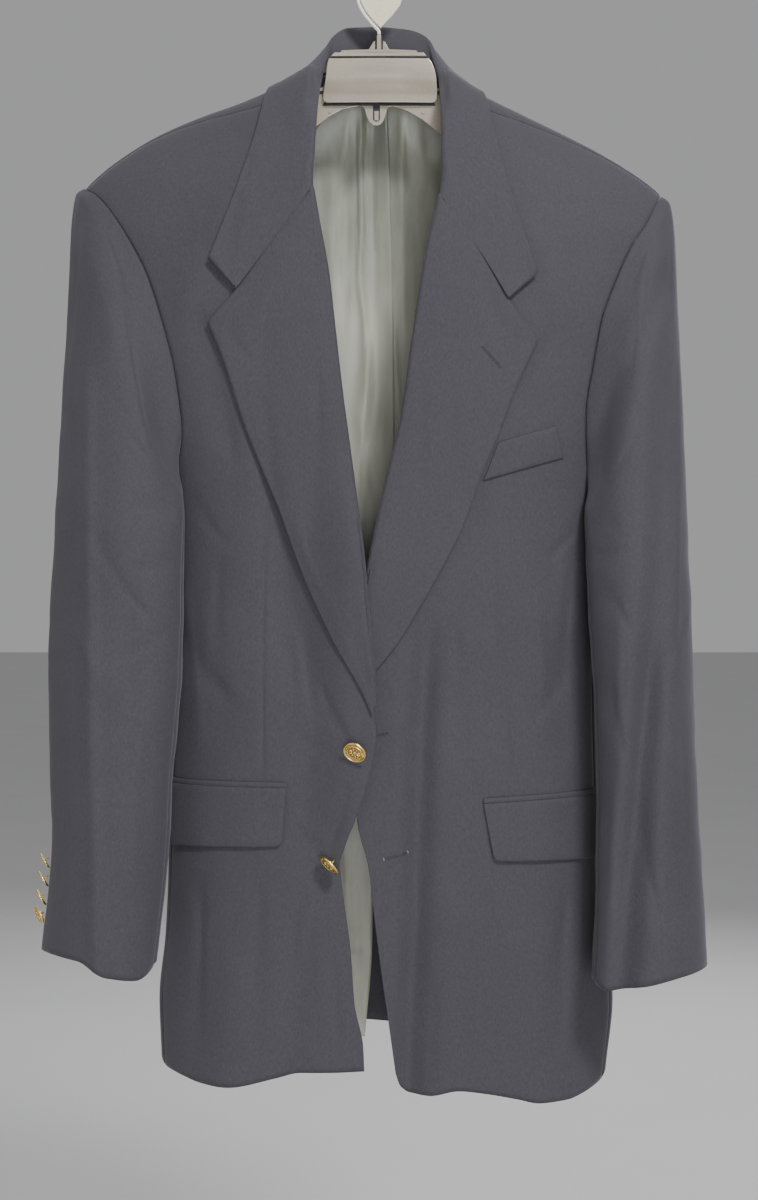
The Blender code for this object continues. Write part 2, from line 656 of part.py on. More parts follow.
def collar_section(side, at, neck):
    """The collar's points at one station, from the stand's foot over the roll to its edge."""
    out, foot_y, foot_z, r_out, r_y, r_z, e_out, e_y, e_z = (f(at) for f in COLLAR_AT[side])
    forward = ease(at - 4)
    turned = [f(at) for f in TURN_AT]
    inward = Vector((-side * turned[0], turned[1], turned[2])).normalized()
    across = Vector((side * turned[3], turned[4], turned[5]))
    seam = nearest(neck, Vector((side * out, foot_y, foot_z)))
    foot = seam + inward * (FOOT_INSET + (ROLL_GAP - FOOT_INSET) * forward)
    roll = Vector((side * r_out, r_y, r_z))
    clear = LIE + 0.6 + SHOULDER_LIFT * ease((at - 2.2) / 0.8) * (1 - ease((at - 4.6) / 1.2))
    edge = pushed_out(Vector((side * e_out, e_y, e_z)), clear)
    flat_y = torso_y(roll.x, roll.z) - ROLL_R
    roll.y += (flat_y - roll.y) * forward
    down = ((foot - roll).normalized() * (1 - forward) + (edge - roll).normalized()).normalized()
    across = (across - down * across.dot(down)).normalized()
    centre = roll + down * ROLL_R
    points = [foot]
    for degrees in (180, 120, 60, 0):
        angle = math.radians(degrees)
        points.append(centre + (across * math.cos(angle) - down * math.sin(angle)) * ROLL_R)
    points.insert(1, foot.lerp(points[1], 0.5))
    at_gorge = ease((at - 5.5) / 1.5)
    if at_gorge:
        front_edge = neck[NECK_COLUMNS + 1 + LAP_ROWS:]
        rolled = [roll_point(side, front_edge, foot_z, degrees) for degrees in (180, 150, 120, 90, 45, 0)]
        points = [a.lerp(b, at_gorge) for a, b in zip(points, rolled)]
    start = points[-1]
    gorge = curve([(side * o, z + GORGE_GAP) for o, z in GORGE[side]])
    toward_end = ease((at - 5) / 2) ** 1.5
    for share in FALL_SHARES:
        point = start.lerp(edge, share)
        if share <= CORNER_SHARE:
            bent = gorge(share / CORNER_SHARE)
        else:
            bent = (edge.x, edge.z)
        point.x += (bent[0] - point.x) * toward_end
        point.z += (bent[1] - point.z) * toward_end
        lift = LIE + 0.6 + (LAPEL_LIFT - LIE - 0.6) * (1 - ease(share * 1.4))
        if forward > 0 and point.y < MID_Y:
            point = point.lerp(front_point(side, point.x, point.z, lift), forward)
        points.append(pushed_out(point, clear))
    return points


def collar_table(side):
    """The collar's rows, with the depth of the neck edge in place of the mark for the back."""
    rows = []
    for station, out, z, on_back, *rest in COLLAR[side]:
        rows.append((station, out, torso_y(side * out, z, bool(on_back)), z, *rest))
    return [table(rows, column) for column in range(1, 10)]


COLLAR_AT = {side: collar_table(side) for side in (LEFT, RIGHT)}
TURN_AT = [table(COLLAR_TURN, column) for column in range(1, 7)]


def collar_rows():
    last = COLLAR[LEFT][-1][0]
    stations = [last * k / COLLAR_STEPS for k in range(COLLAR_STEPS + 1)]
    necks = {side: neck_edge(side) for side in (LEFT, RIGHT)}
    left = [collar_section(LEFT, at, necks[LEFT]) for at in reversed(stations)]
    return left + [collar_section(RIGHT, at, necks[RIGHT]) for at in stations[1:]]


# What lies on the fronts, as outward and z: inner top, outer top, inner foot, outer foot
FLAP = {
    LEFT: ((76, -702), (172.5, -701), (79, -750), (172.5, -752)),
    RIGHT: ((85.5, -715), (181.5, -710), (93, -762), (181.5, -763)),
}
FLAP_CORNER = 7.0
JET_HEIGHT = 4.5
WELT = ((97.8, -418.5), (146, -404), (85.6, -449.5), (152, -430))


def patch_rows(side, corners, off, columns, rows, corner=0.0):
    """A piece that lies on a front, from its four corners. corner rounds its inner foot."""
    made = []
    for t in even(rows):
        row = []
        for s in even(columns):
            top = [a + (b - a) * s for a, b in zip(corners[0], corners[1])]
            foot = [a + (b - a) * s for a, b in zip(corners[2], corners[3])]
            near = max(0.0, 1 - s * columns / 2)
            foot[1] += corner * near**2
            x, z = (a + (b - a) * t for a, b in zip(top, foot))
            row.append(front_point(side, side * x, z, off))
        made.append(row)
    return made


# The back lining, which shows through the neck and the open front
LINING_OFF = 2.6
LINING_TOP = -93.0
LINING_HEM = {LEFT: (-934, -915), RIGHT: (-905, -915)}
# z, x of the left half's edge, x of the right half's edge, under the pleat
LINING_CENTRE = [(-90, 4, 6), (-130, 5, 7), (-400, 10, 12), (-560, 8, 10), (-690, 0, 6),
                 (-760, -5, 12), (-850, -6, 14), (-940, -13, 16)]
LINING_COLUMNS, LINING_ROWS = 7, 15


def lining_rows(side):
    """Half of the back lining. The left half laps over the right one at the pleat."""
    centre = table(LINING_CENTRE, 1 if side == LEFT else 2)
    hem_centre, hem_side = LINING_HEM[side]
    rows = []
    for t in even(LINING_ROWS):
        row = []
        for s in even(LINING_COLUMNS):
            top = LINING_TOP - 250 * max(0.0, s - 0.18) ** 1.2
            foot = hem_centre + (hem_side - hem_centre) * s
            z = top + (foot - top) * t
            reach = side * min(WIDTH_AT[side](z) * 0.86, 156)
            inner_x = centre(z)
            x = inner_x + (reach - inner_x) * s
            cloth = Vector((x, torso_y(x, z, True), z))
            row.append(cloth - outward_normal(x, z, True) * LINING_OFF)
        rows.append(row)
    return rows


# Buttons. The profile is radius and height over the button's back, as shares of its radius.
BUTTON_PROFILE = [(0, 0.30), (0.50, 0.26), (0.92, 0.18), (1.0, 0.08), (0.94, 0.0), (0.20, -0.04),
                  (0.15, -0.42), (0, -0.42)]
BUTTON_STEPS = 12
# How far a turned button's many flats let it come nearer to the cloth
BUTTON_SETTLE = 0.3
# name, side, x, z, the way that its face looks
FRONT_BUTTONS = [
    ("front_button_upper", -19.5, -671.0, (-0.32, -0.77, -0.55)),
    ("front_button_lower", -40.0, -763.0, (-0.66, -0.36, -0.66)),
]
# z of each cuff button, the way that its face looks on the left sleeve, and its lift
CUFF_BUTTONS = [(-764, (-0.83, -0.22, -0.52), 0.5), (-780, (-0.82, -0.20, -0.54), 0.0),
                (-796, (-0.84, -0.16, -0.52), 0.0), (-811, (-0.78, -0.48, -0.40), 0.0)]
CUFF_BUTTON_DEGREES = {LEFT: 4.0, RIGHT: -42.0}


def button(name, centre, face, radius, finish, collection):
    """A turned button with its shank, at centre and looking along face."""
    mesh = bmesh.new()
    points = [mesh.verts.new((r * radius * MM, 0, h * radius * MM)) for r, h in BUTTON_PROFILE]
    for a, b in zip(points, points[1:]):
        mesh.edges.new((a, b))
    data = bpy.data.meshes.new(name)
    mesh.to_mesh(data)
    mesh.free()
    made = add_object(name, data, finish, collection)
    turn = made.modifiers.new("turn", "SCREW")
    turn.steps = turn.render_steps = BUTTON_STEPS
    turn.use_merge_vertices = True
    turn.merge_threshold = 0.00005
    made.location = Vector(centre) * MM
    made.rotation_mode = "QUATERNION"
    made.rotation_quaternion = Vector(face).to_track_quat("Z", "Y")
    return made


def rim_drop(face, cloth, radius):
    """How far a tilted button's rim reaches from its centre towards the cloth."""
    cosine = min(abs(Vector(face).normalized().dot(cloth)), 1.0)
    return radius * math.sqrt(1 - cosine**2)


def front_buttons(finish, collection):
    for name, x, z, face in FRONT_BUTTONS:
        cloth = outward_normal(x, z)
        foot = max(rim_drop(face, cloth, FRONT_BUTTON_R), 0.42 * FRONT_BUTTON_R)
        off = WOOL_WALL / 2 + SEAM_GAP + foot - BUTTON_SETTLE
        button(name, front_point(LEFT, x, z, off), face, FRONT_BUTTON_R, finish, collection)


def cuff_buttons(side, word, finish, collection):
    loop = armhole_loop(side)
    for k, (z, face, lift) in enumerate(CUFF_BUTTONS):
        rows = SLEEVE[side]
        at = table([(row[2], i) for i, row in enumerate(rows)], 1)(z - (8 if side == RIGHT else 0))
        turned = CUFF_BUTTON_DEGREES[side]
        here = sleeve_point(side, loop, at, turned)
        around = sleeve_point(side, loop, at, turned + 3) - sleeve_point(side, loop, at, turned - 3)
        along = sleeve_point(side, loop, at + 0.05, turned) - sleeve_point(side, loop, at - 0.05, turned)
        cloth = around.cross(along).normalized()
        if cloth.x * side < 0:
            cloth = -cloth
        looks = Vector(face if side == LEFT else (cloth.x, cloth.y, -0.55))
        foot = max(rim_drop(looks, cloth, CUFF_BUTTON_R), 0.42 * CUFF_BUTTON_R)
        centre = here + cloth * (WOOL_WALL / 2 + SEAM_GAP + foot - BUTTON_SETTLE + lift)
        button(f"cuff_button_{word}_{k + 1}", centre, looks, CUFF_BUTTON_R, finish, collection)


# Hanger
# outward, height of the arms' middle wall, front and back reach from HANGER_Y
HANGER_Y = -8.0
HANGER_TOP = [(0, -79.6, 5, 12), (31, -80.6, 5, 10), (35, -86, 5, 6), (38.5, -99, 5, 5),
              (43, -110.5, 5, 5), (56, -113.5, 8, 8), (76, -112, 10, 10), (100, -124, 15, 15),
              (150, -143, 18, 18), (190, -162, 20, 20), (205, -172, 20, 20)]
ARM_DROOP = 0.013
ARM_STATIONS = [10, 22, 31, 35, 38.5, 43, 49, 56, 66, 74, 81, 88, 100, 115, 130, 145, 160, 175, 190, 205]
PLATE = [(-38, -83.2), (-41, -92.8), (-44, -106), (-48.5, -121), (-48, -122.8), (50, -122.8),
         (52, -119), (46, -106), (42, -92), (38, -83.2)]
PLATE_Y, PLATE_THICK = -16.0, 3.0
FLANGE = [(-28, -84.2), (-31, -95), (-34.5, -108), (-41, -116.5), (-62, -118), (-62, -149), (-51.8, -142),
          (-36, -133), (-19.3, -125.6), (-12.4, -128), (-7.8, -140.4), (-2.6, -142.6),
          (3.6, -139.5), (7.3, -128.8), (13.3, -126.2), (24, -131), (36.4, -137.4), (52.7, -150.2),
          (62, -156), (62, -118.5), (41, -116.5), (34.5, -108), (31, -95), (28, -84.2)]
FLANGE_Y, FLANGE_THICK = -13.0, 2.4
STEM = [(-10.7, -77.8), (-3.9, -67.8), (-2.4, -67.8), (-2.4, -62.6), (2.4, -62.6), (2.4, -67.8),
        (3.9, -67.8), (10.7, -77.8)]
STEM_THICK = 5.0
HOOK_INNER_R = 16.0
# The wire from the stem up to the hook's bend, as x and z
HOOK_RISE = [(0, -62.0), (0, -60.0), (-1.0, -58.0), (-3.5, -55.5), (-7.3, -51.2), (-14.1, -42.4),
             (-18.0, -33.0), (-18.9, -25.0)]
HOOK_END_DEGREES = -8.0
WEB = [(1.5, -56.6), (-5.0, -50.2), (-12.2, -41.0), (-15.9, -33.0), (-12, -37.5), (-6, -40.2),
       (0, -41.2), (6, -40.2), (12, -37.5), (19.4, -31.5), (19.0, -36.5), (11.5, -45.5)]
WEB_THICK = 2.4


def under_shoulder(x, y):
    """How high the body's cloth lies over a place near the shoulder's ridge."""
    back = y > MID_Y
    cap = BACK_CAP if back else FRONT_CAP
    z = ridge(x)
    share = (abs(x) / WIDTH_AT[side_of(x)](z)) ** CORNER_POWER
    far = ((BACK_AT(z) if back else FRONT_AT(z)) - MID_Y) * (1 - share) ** (1 / CORNER_POWER)
    return z - cap * (1 - math.sqrt(max(0.0, 1 - ((y - MID_Y) / far) ** 2)))


def hanger_top(x, column=1):
    """The arms' middle wall, which carries the shoulders from inside."""
    value = table(HANGER_TOP, column)(abs(x))
    if column != 1:
        return value
    seat = ridge(x) - WOOL_WALL / 2 - SEAM_GAP - HANGER_WALL / 2 - 0.65
    return value + (seat - value) * ease((abs(x) - 62) / 18)


def arm_rows(across=4):
    rows = []
    for x in [-x for x in reversed(ARM_STATIONS)] + ARM_STATIONS:
        front, back = hanger_top(x, 2), hanger_top(x, 3)
        row = []
        for s in even(across):
            dy = -front + (front + back) * s
            arch = ridge(x) - under_shoulder(x, HANGER_Y + dy) + ARM_DROOP * dy * dy
            arch *= ease((abs(x) - 40) / 30)
            row.append(Vector((x, HANGER_Y + dy, hanger_top(x) - arch)))
        rows.append(row)
    return rows


def flat_outline(name, outline, thick, y, finish, collection):
    """A flat piece of the hanger, from its outline as x and z."""
    data = bpy.data.curves.new(name, "CURVE")
    data.dimensions = "2D"
    data.fill_mode = "BOTH"
    data.extrude = thick / 2 * MM
    spline = data.splines.new("POLY")
    spline.points.add(len(outline) - 1)
    for point, (x, z) in zip(spline.points, outline):
        point.co = (x * MM, z * MM, 0, 1)
    spline.use_cyclic_u = True
    made = add_object(name, data, finish, collection)
    made.rotation_euler = (math.pi / 2, 0, 0)
    made.location.y = y * MM
    return made


def hook_wire(name, finish, collection):
    middle = HOOK_INNER_R + HOOK_R
    centre_z = -HOOK_INNER_R
    start, end = math.radians(200), math.radians(HOOK_END_DEGREES)
    steps = 15
    bend = [start + (end - start) * k / steps for k in range(steps + 1)]
    rise = curve(HOOK_RISE)
    points = [rise(k / 10) for k in range(10)]
    points += [(middle * math.cos(a), centre_z + middle * math.sin(a)) for a in bend]
    data = bpy.data.curves.new(name, "CURVE")
    data.dimensions = "3D"
    data.bevel_depth = HOOK_R * MM
    data.bevel_resolution = 2
    data.use_fill_caps = True
    spline = data.splines.new("POLY")
    spline.points.add(len(points) - 1)
    for point, (x, z) in zip(spline.points, points):
        point.co = (x * MM, 0, z * MM, 1)
    return add_object(name, data, finish, collection)


def main():
    for old in list(bpy.data.objects):
        bpy.data.objects.remove(old)
    blazer = bpy.data.collections.new("blazer")
    bpy.context.scene.collection.children.link(blazer)
    wool = material("navy_wool", (0.045, 0.048, 0.068), 0.8)
    lining = material("lining_satin", (0.20, 0.22, 0.18), 0.38)
    gold = material("gilt_metal", (0.72, 0.50, 0.22), 0.32, 1.0)
    plastic = material("hanger_plastic", (0.42, 0.39, 0.34), 0.25)
    wire = material("white_wire", (0.80, 0.79, 0.74), 0.3)

    for side, word in ((LEFT, "left"), (RIGHT, "right")):
        sheet(f"front_{word}", front_rows(side), WOOL_WALL, wool, blazer)
        sheet(f"side_{word}", side_rows(side), WOOL_WALL, wool, blazer)
        sheet(f"back_{word}", back_rows(side), WOOL_WALL, wool, blazer)
        sheet(f"top_sleeve_{word}",
              sleeve_rows(side, BACK_SEAM_DEGREES[side], FRONT_SEAM_DEGREES, TOP_COLUMNS),
              WOOL_WALL, wool, blazer)
        sheet(f"under_sleeve_{word}",
              sleeve_rows(side, FRONT_SEAM_DEGREES, 360 + BACK_SEAM_DEGREES[side], UNDER_COLUMNS),
              WOOL_WALL, wool, blazer)
        sheet(f"lapel_{word}", lapel_rows(side), WOOL_WALL, wool, blazer)
        sheet(f"back_lining_{word}", lining_rows(side), LINING_WALL, lining, blazer)
        corners = FLAP[side]
        sheet(f"flap_{word}", patch_rows(side, corners, LIE, 8, 3, FLAP_CORNER),
              WOOL_WALL, wool, blazer)
        jet = tuple((o, z + lift) for (o, z), lift in
                    zip(corners[:2] * 2, (JET_HEIGHT, JET_HEIGHT, SEAM_GAP, SEAM_GAP)))
        sheet(f"jet_{word}", patch_rows(side, jet, LIE, 8, 1), WOOL_WALL, wool, blazer)
        cuff_buttons(side, word, gold, blazer)
    sheet("collar", collar_rows(), WOOL_WALL, wool, blazer)
    sheet("chest_welt", patch_rows(RIGHT, WELT, LIE, 5, 2), WOOL_WALL, wool, blazer)
    front_buttons(gold, blazer)
    sheet("hanger_arms", arm_rows(), HANGER_WALL, plastic, blazer)
    flat_outline("hanger_plate", PLATE, PLATE_THICK, PLATE_Y, plastic, blazer)
    flat_outline("hanger_flange", FLANGE, FLANGE_THICK, FLANGE_Y, plastic, blazer)
    flat_outline("hanger_stem", STEM, STEM_THICK, 0, plastic, blazer)
    flat_outline("hanger_web", WEB, WEB_THICK, 0, wire, blazer)
    hook_wire("hanger_hook", wire, blazer)


main()
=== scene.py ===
"""A two-button blazer hanging open on a plastic hanger, dressed over its solids.

The tables are in millimetres and MM turns them into metres. The origin is the inside
top of the hook, +X is to the picture's right, +Y away from the viewer and +Z up.
"Outward" is the distance from the centre plane, so one column serves both sides.
"""
from __future__ import annotations

import json
import logging
import math
from bisect import bisect_right
from dataclasses import dataclass, field
from enum import Enum, IntEnum
from typing import Any, Callable, Sequence

import bmesh
import bpy
from mathutils import Matrix, Vector, noise
from mathutils.bvhtree import BVHTree

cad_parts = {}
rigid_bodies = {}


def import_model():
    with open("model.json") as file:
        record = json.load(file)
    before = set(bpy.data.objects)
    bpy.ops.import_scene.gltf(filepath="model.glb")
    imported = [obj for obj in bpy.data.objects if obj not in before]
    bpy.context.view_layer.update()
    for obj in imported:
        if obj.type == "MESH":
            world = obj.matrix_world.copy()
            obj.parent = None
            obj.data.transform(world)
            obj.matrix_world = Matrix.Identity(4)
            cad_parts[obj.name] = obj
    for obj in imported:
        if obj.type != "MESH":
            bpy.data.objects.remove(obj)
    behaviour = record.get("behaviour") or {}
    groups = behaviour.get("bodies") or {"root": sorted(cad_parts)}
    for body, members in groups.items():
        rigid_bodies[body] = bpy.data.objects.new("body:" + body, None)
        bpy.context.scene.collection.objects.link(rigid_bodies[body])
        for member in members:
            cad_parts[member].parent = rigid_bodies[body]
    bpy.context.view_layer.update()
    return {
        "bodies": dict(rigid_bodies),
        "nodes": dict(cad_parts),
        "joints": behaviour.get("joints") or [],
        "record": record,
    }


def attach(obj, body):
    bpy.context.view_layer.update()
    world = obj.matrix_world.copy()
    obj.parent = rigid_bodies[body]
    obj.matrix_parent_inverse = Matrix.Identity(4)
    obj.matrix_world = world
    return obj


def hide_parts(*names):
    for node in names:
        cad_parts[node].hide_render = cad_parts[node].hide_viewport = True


LOG = logging.getLogger("blazer")
MM = 0.001
Row = tuple[float, ...]
Rows = tuple[Row, ...]
WALL = 1.6
LINING_WALL = 1.2
VENT_TOP = -690.0


class Side(IntEnum):
    """The two sides of the picture. The value is the sign of x."""

    LEFT = -1
    RIGHT = 1

    @property
    def word(self) -> str:
        """The side's name in the names of nodes."""
        return self.name.lower()


class Held(Enum):
    """How a cloth piece is held."""

    HUNG = "hung"
    FOLDED = "folded"
    LAID = "laid"


def ease(t: float) -> float:
    """A step from 0 to 1 with soft ends."""
    t = min(max(t, 0.0), 1.0)
    return t * t * (3 - 2 * t)


def bell(distance: float, half: float) -> float:
    """A hump of height 1 that fades on both sides."""
    return math.exp(-((distance / half) ** 2))


def between(a: Row, b: Row, share: float) -> Row:
    """The numbers at a share of the way from one row to another."""
    return tuple(p + (q - p) * share for p, q in zip(a, b))


def even(count: int, power: float = 1.0) -> list[float]:
    """Shares from 0 to 1, closer together at the start where power is over 1."""
    return [(k / count) ** power for k in range(count + 1)]


def both(left: Any, right: Any) -> Any:
    """A dataclass field with a value for each side of the picture."""
    return field(default_factory=lambda: {-1: left, 1: right})


class Fair:
    """A smooth curve through rows of numbers that doesn't overshoot them."""

    def __init__(self, ts: Sequence[float], values: Sequence[Row]) -> None:
        """Works out the slopes.

        Args:
            ts: The parameter of each row, rising.
            values: The numbers of each row.
        """
        self.ts = list(ts)
        self.values = [tuple(v) for v in values]
        steps = [
            [(q - p) / (t1 - t0) for p, q in zip(a, b)]
            for a, b, t0, t1 in zip(self.values, self.values[1:], self.ts, self.ts[1:])
        ]
        inside = [
            [2 * p * q / (p + q) if p * q > 0 else 0.0 for p, q in zip(a, b)]
            for a, b in zip(steps, steps[1:])
        ]
        self.slopes = [steps[0], *inside, steps[-1]]

    @classmethod
    def over(cls, rows: Sequence[Row], *columns: int) -> Fair:
        """A curve over the first column that gives the named columns, or all the others."""
        ordered = sorted(rows)
        picked = columns or tuple(range(1, len(ordered[0])))
        return cls([row[0] for row in ordered], [tuple(row[c] for c in picked) for row in ordered])

    @classmethod
    def along(cls, points: Sequence[Row]) -> Fair:
        """A curve of 0 to 1 that runs evenly along the points."""
        ts = [0.0]
        for a, b in zip(points, points[1:]):
            ts.append(ts[-1] + math.dist(a, b))
        return cls([t / ts[-1] for t in ts], points)

    def __call__(self, t: float) -> Row:
        """The numbers at t, with the ends held beyond the first and last row."""
        t = min(max(t, self.ts[0]), self.ts[-1])
        i = min(bisect_right(self.ts, t), len(self.ts) - 1) - 1
        span = self.ts[i + 1] - self.ts[i]
        s = (t - self.ts[i]) / span
        a, b = (1 + 2 * s) * (1 - s) ** 2, s * s * (3 - 2 * s)
        c, d = span * s * (1 - s) ** 2, span * s * s * (s - 1)
        return tuple(
            p * a + q * b + m * c + n * d
            for p, q, m, n in zip(self.values[i], self.values[i + 1], self.slopes[i], self.slopes[i + 1])
        )

    def one(self, t: float) -> float:
        """The first number at t."""
        return self(t)[0]

    def straight(self, t: float) -> Row:
        """The numbers at t with straight lines between the rows."""
        i = min(bisect_right(self.ts, t), len(self.ts) - 1) - 1
        return between(self.values[i], self.values[i + 1], (t - self.ts[i]) / (self.ts[i + 1] - self.ts[i]))


@dataclass(frozen=True)
class Crease:
    """A fold across a piece, in the piece's own two measures."""

    start: tuple[float, float]
    end: tuple[float, float]
    half: float
    deep: float
    bow: float = 0.0
    skew: float = 0.0

    def depth(self, a: float, b: float) -> float:
        """How far the crease pushes a place inwards.

        Args:
            a: The first measure of the place, such as x.
            b: The second measure, such as z.

        Returns:
            The depth in millimetres, negative for a ridge.
        """
        run_a, run_b = self.end[0] - self.start[0], self.end[1] - self.start[1]
        square = run_a * run_a + run_b * run_b
        to_a, to_b = a - self.start[0], b - self.start[1]
        share = (to_a * run_a + to_b * run_b) / square
        if not -0.02 < share < 1.02:
            return 0.0
        off = (to_a * run_b - to_b * run_a) / math.sqrt(square) - self.bow * 4 * share * (1 - share)
        lean = 1 + self.skew * (1 if off > 0 else -1)
        half = self.half * lean * (0.8 + 0.35 * math.sin(5 * share + self.half))
        if abs(off) > 3 * half:
            return 0.0
        fade = ease(share / 0.22) * ease((1 - share) / 0.3)
        return self.deep * bell(off, half) * fade


def creased(creases: Sequence[Crease], a: float, b: float) -> float:
    """The depth of all of a piece's creases at one place."""
    return sum(crease.depth(a, b) for crease in creases)


def creases_of(rows: Sequence[Row]) -> tuple[Crease, ...]:
    """Creases from rows of a0, b0, a1, b1, half width, depth, bow and skew."""
    return tuple(Crease((r[0], r[1]), (r[2], r[3]), *r[4:]) for r in rows)


def fold_depth(rows: Rows, x: float, z: float) -> float:
    """The depth of a piece's large folds, which run on past their ends.

    Args:
        rows: The folds as x0, z0, x1, z1, half width and depth.
        x: The place across.
        z: The height.

    Returns:
        The depth in millimetres.
    """
    total = 0.0
    for x0, z0, x1, z1, half, deep in rows:
        run, at = Vector((x1 - x0, z1 - z0)), Vector((x - x0, z - z0))
        share = at.dot(run) / run.length_squared
        total += deep * bell((at - run * share).length, half) * ease(share / 0.3)
    return total


def rumple(point: Vector, grain: float, deep: float) -> float:
    """A soft unevenness of the cloth, the same on each run.

    Args:
        point: The place in millimetres.
        grain: How far apart the swells are.
        deep: The height of the swells.

    Returns:
        The height in millimetres.
    """
    return deep * noise.noise(point / grain)


@dataclass
class Torso:
    """The form that the body's panels are cut to."""

    middle: float = -8.0
    corner_power: float = 2.8
    front_cap: float = 190.0
    back_cap: float = 80.0
    seam_share: float = 0.979
    widths: Rows = (
        (-1000, 184, 188), (-945, 184, 192), (-885, 186, 198), (-830, 181, 193), (-760, 178, 187),
        (-600, 174, 183), (-500, 176, 185), (-450, 179, 188), (-400, 188, 194), (-350, 203, 206),
        (-300, 226, 225), (-260, 250, 245), (-230, 272, 266), (0, 272, 266),
    )
    depths: Rows = (
        (-1000, -72, 54), (-760, -72, 50), (-600, -72, 46), (-400, -71, 46), (-250, -67, 44),
        (-150, -64, 42), (0, -62, 40),
    )
    ridges: Rows = (
        (0, -72, -72), (60, -96, -100), (85, -110, -116), (119, -125, -133), (150, -136, -148),
        (189, -153, -168), (227, -177, -192), (252, -199, -214), (290, -240, -255),
    )
    drops: Rows = ((0, 18), (68, 18), (130, 9), (200, 3), (300, 1))

    def __post_init__(self) -> None:
        """Makes the smooth curves of the tables."""
        self.width_at, self.depth_at = Fair.over(self.widths), Fair.over(self.depths)
        self.ridge_at, self.drop_at = Fair.over(self.ridges), Fair.over(self.drops)

    def half_width(self, side: int, z: float) -> float:
        """How far out the body reaches at a height."""
        return self.width_at(z)[0 if side < 0 else 1]

    def ridge(self, x: float) -> float:
        """The height of the shoulder's ridge."""
        return self.ridge_at(abs(x))[0 if x < 0 else 1]

    def seam_x(self, side: int, z: float) -> float:
        """Where the side body's seams run."""
        return side * self.half_width(side, z) * self.seam_share

    def y(self, x: float, z: float, back: bool = False) -> float:
        """How deep the body lies.

        Args:
            x: The place across.
            z: The height.
            back: Whether the back is meant.

        Returns:
            The depth in millimetres.
        """
        cap = self.back_cap if back else self.front_cap
        far = self.depth_at(z)[1 if back else 0]
        share = min(abs(x) / self.half_width(-1 if x < 0 else 1, z), 1.0)
        corner = (1 - share**self.corner_power) ** (1 / self.corner_power)
        fall = min(max((self.ridge(x) - z) / cap, 0.0), 1.0)
        return self.middle + (far - self.middle) * corner * math.sqrt(1 - (1 - fall) ** 2)

    def normal(self, x: float, z: float, back: bool = False) -> Vector:
        """The direction off the cloth, away from the body.

        Args:
            x: The place across.
            z: The height.
            back: Whether the back is meant.

        Returns:
            A direction of length 1.
        """
        step = 2.0
        here = self.y(x, z, back)
        slope_x = (self.y(x + step, z, back) - here) / step
        slope_z = (here - self.y(x, z - step, back)) / step
        out = Vector((slope_x, -1.0, slope_z)).normalized()
        return -out if back else out


TORSO = Torso()


class Value:
    """A shader's socket that can be used in Python expressions."""

    def __init__(self, graph: Graph, socket: Any) -> None:
        """Keeps the graph and the socket."""
        self.graph = graph
        self.socket = socket

    def math(self, operation: str, *others: Any) -> Value:
        """The result of a Math node on this value and others."""
        return self.graph.node("ShaderNodeMath", {"operation": operation}, (self, *others))

    def __add__(self, other: Any) -> Value:
        """Sum."""
        return self.math("ADD", other)

    def __mul__(self, other: Any) -> Value:
        """Product."""
        return self.math("MULTIPLY", other)

    def __sub__(self, other: Any) -> Value:
        """Difference."""
        return self.math("SUBTRACT", other)

    def __rsub__(self, other: Any) -> Value:
        """Difference from a number."""
        return self.graph.node("ShaderNodeMath", {"operation": "SUBTRACT"}, (other, self))

    __radd__ = __add__

    def step(self, low: float, high: float) -> Value:
        """A soft step from 0 at low to 1 at high."""
        return self.graph.node(
            "ShaderNodeMapRange", {"interpolation_type": "SMOOTHSTEP"}, (self, low, high, 0.0, 1.0)
        )


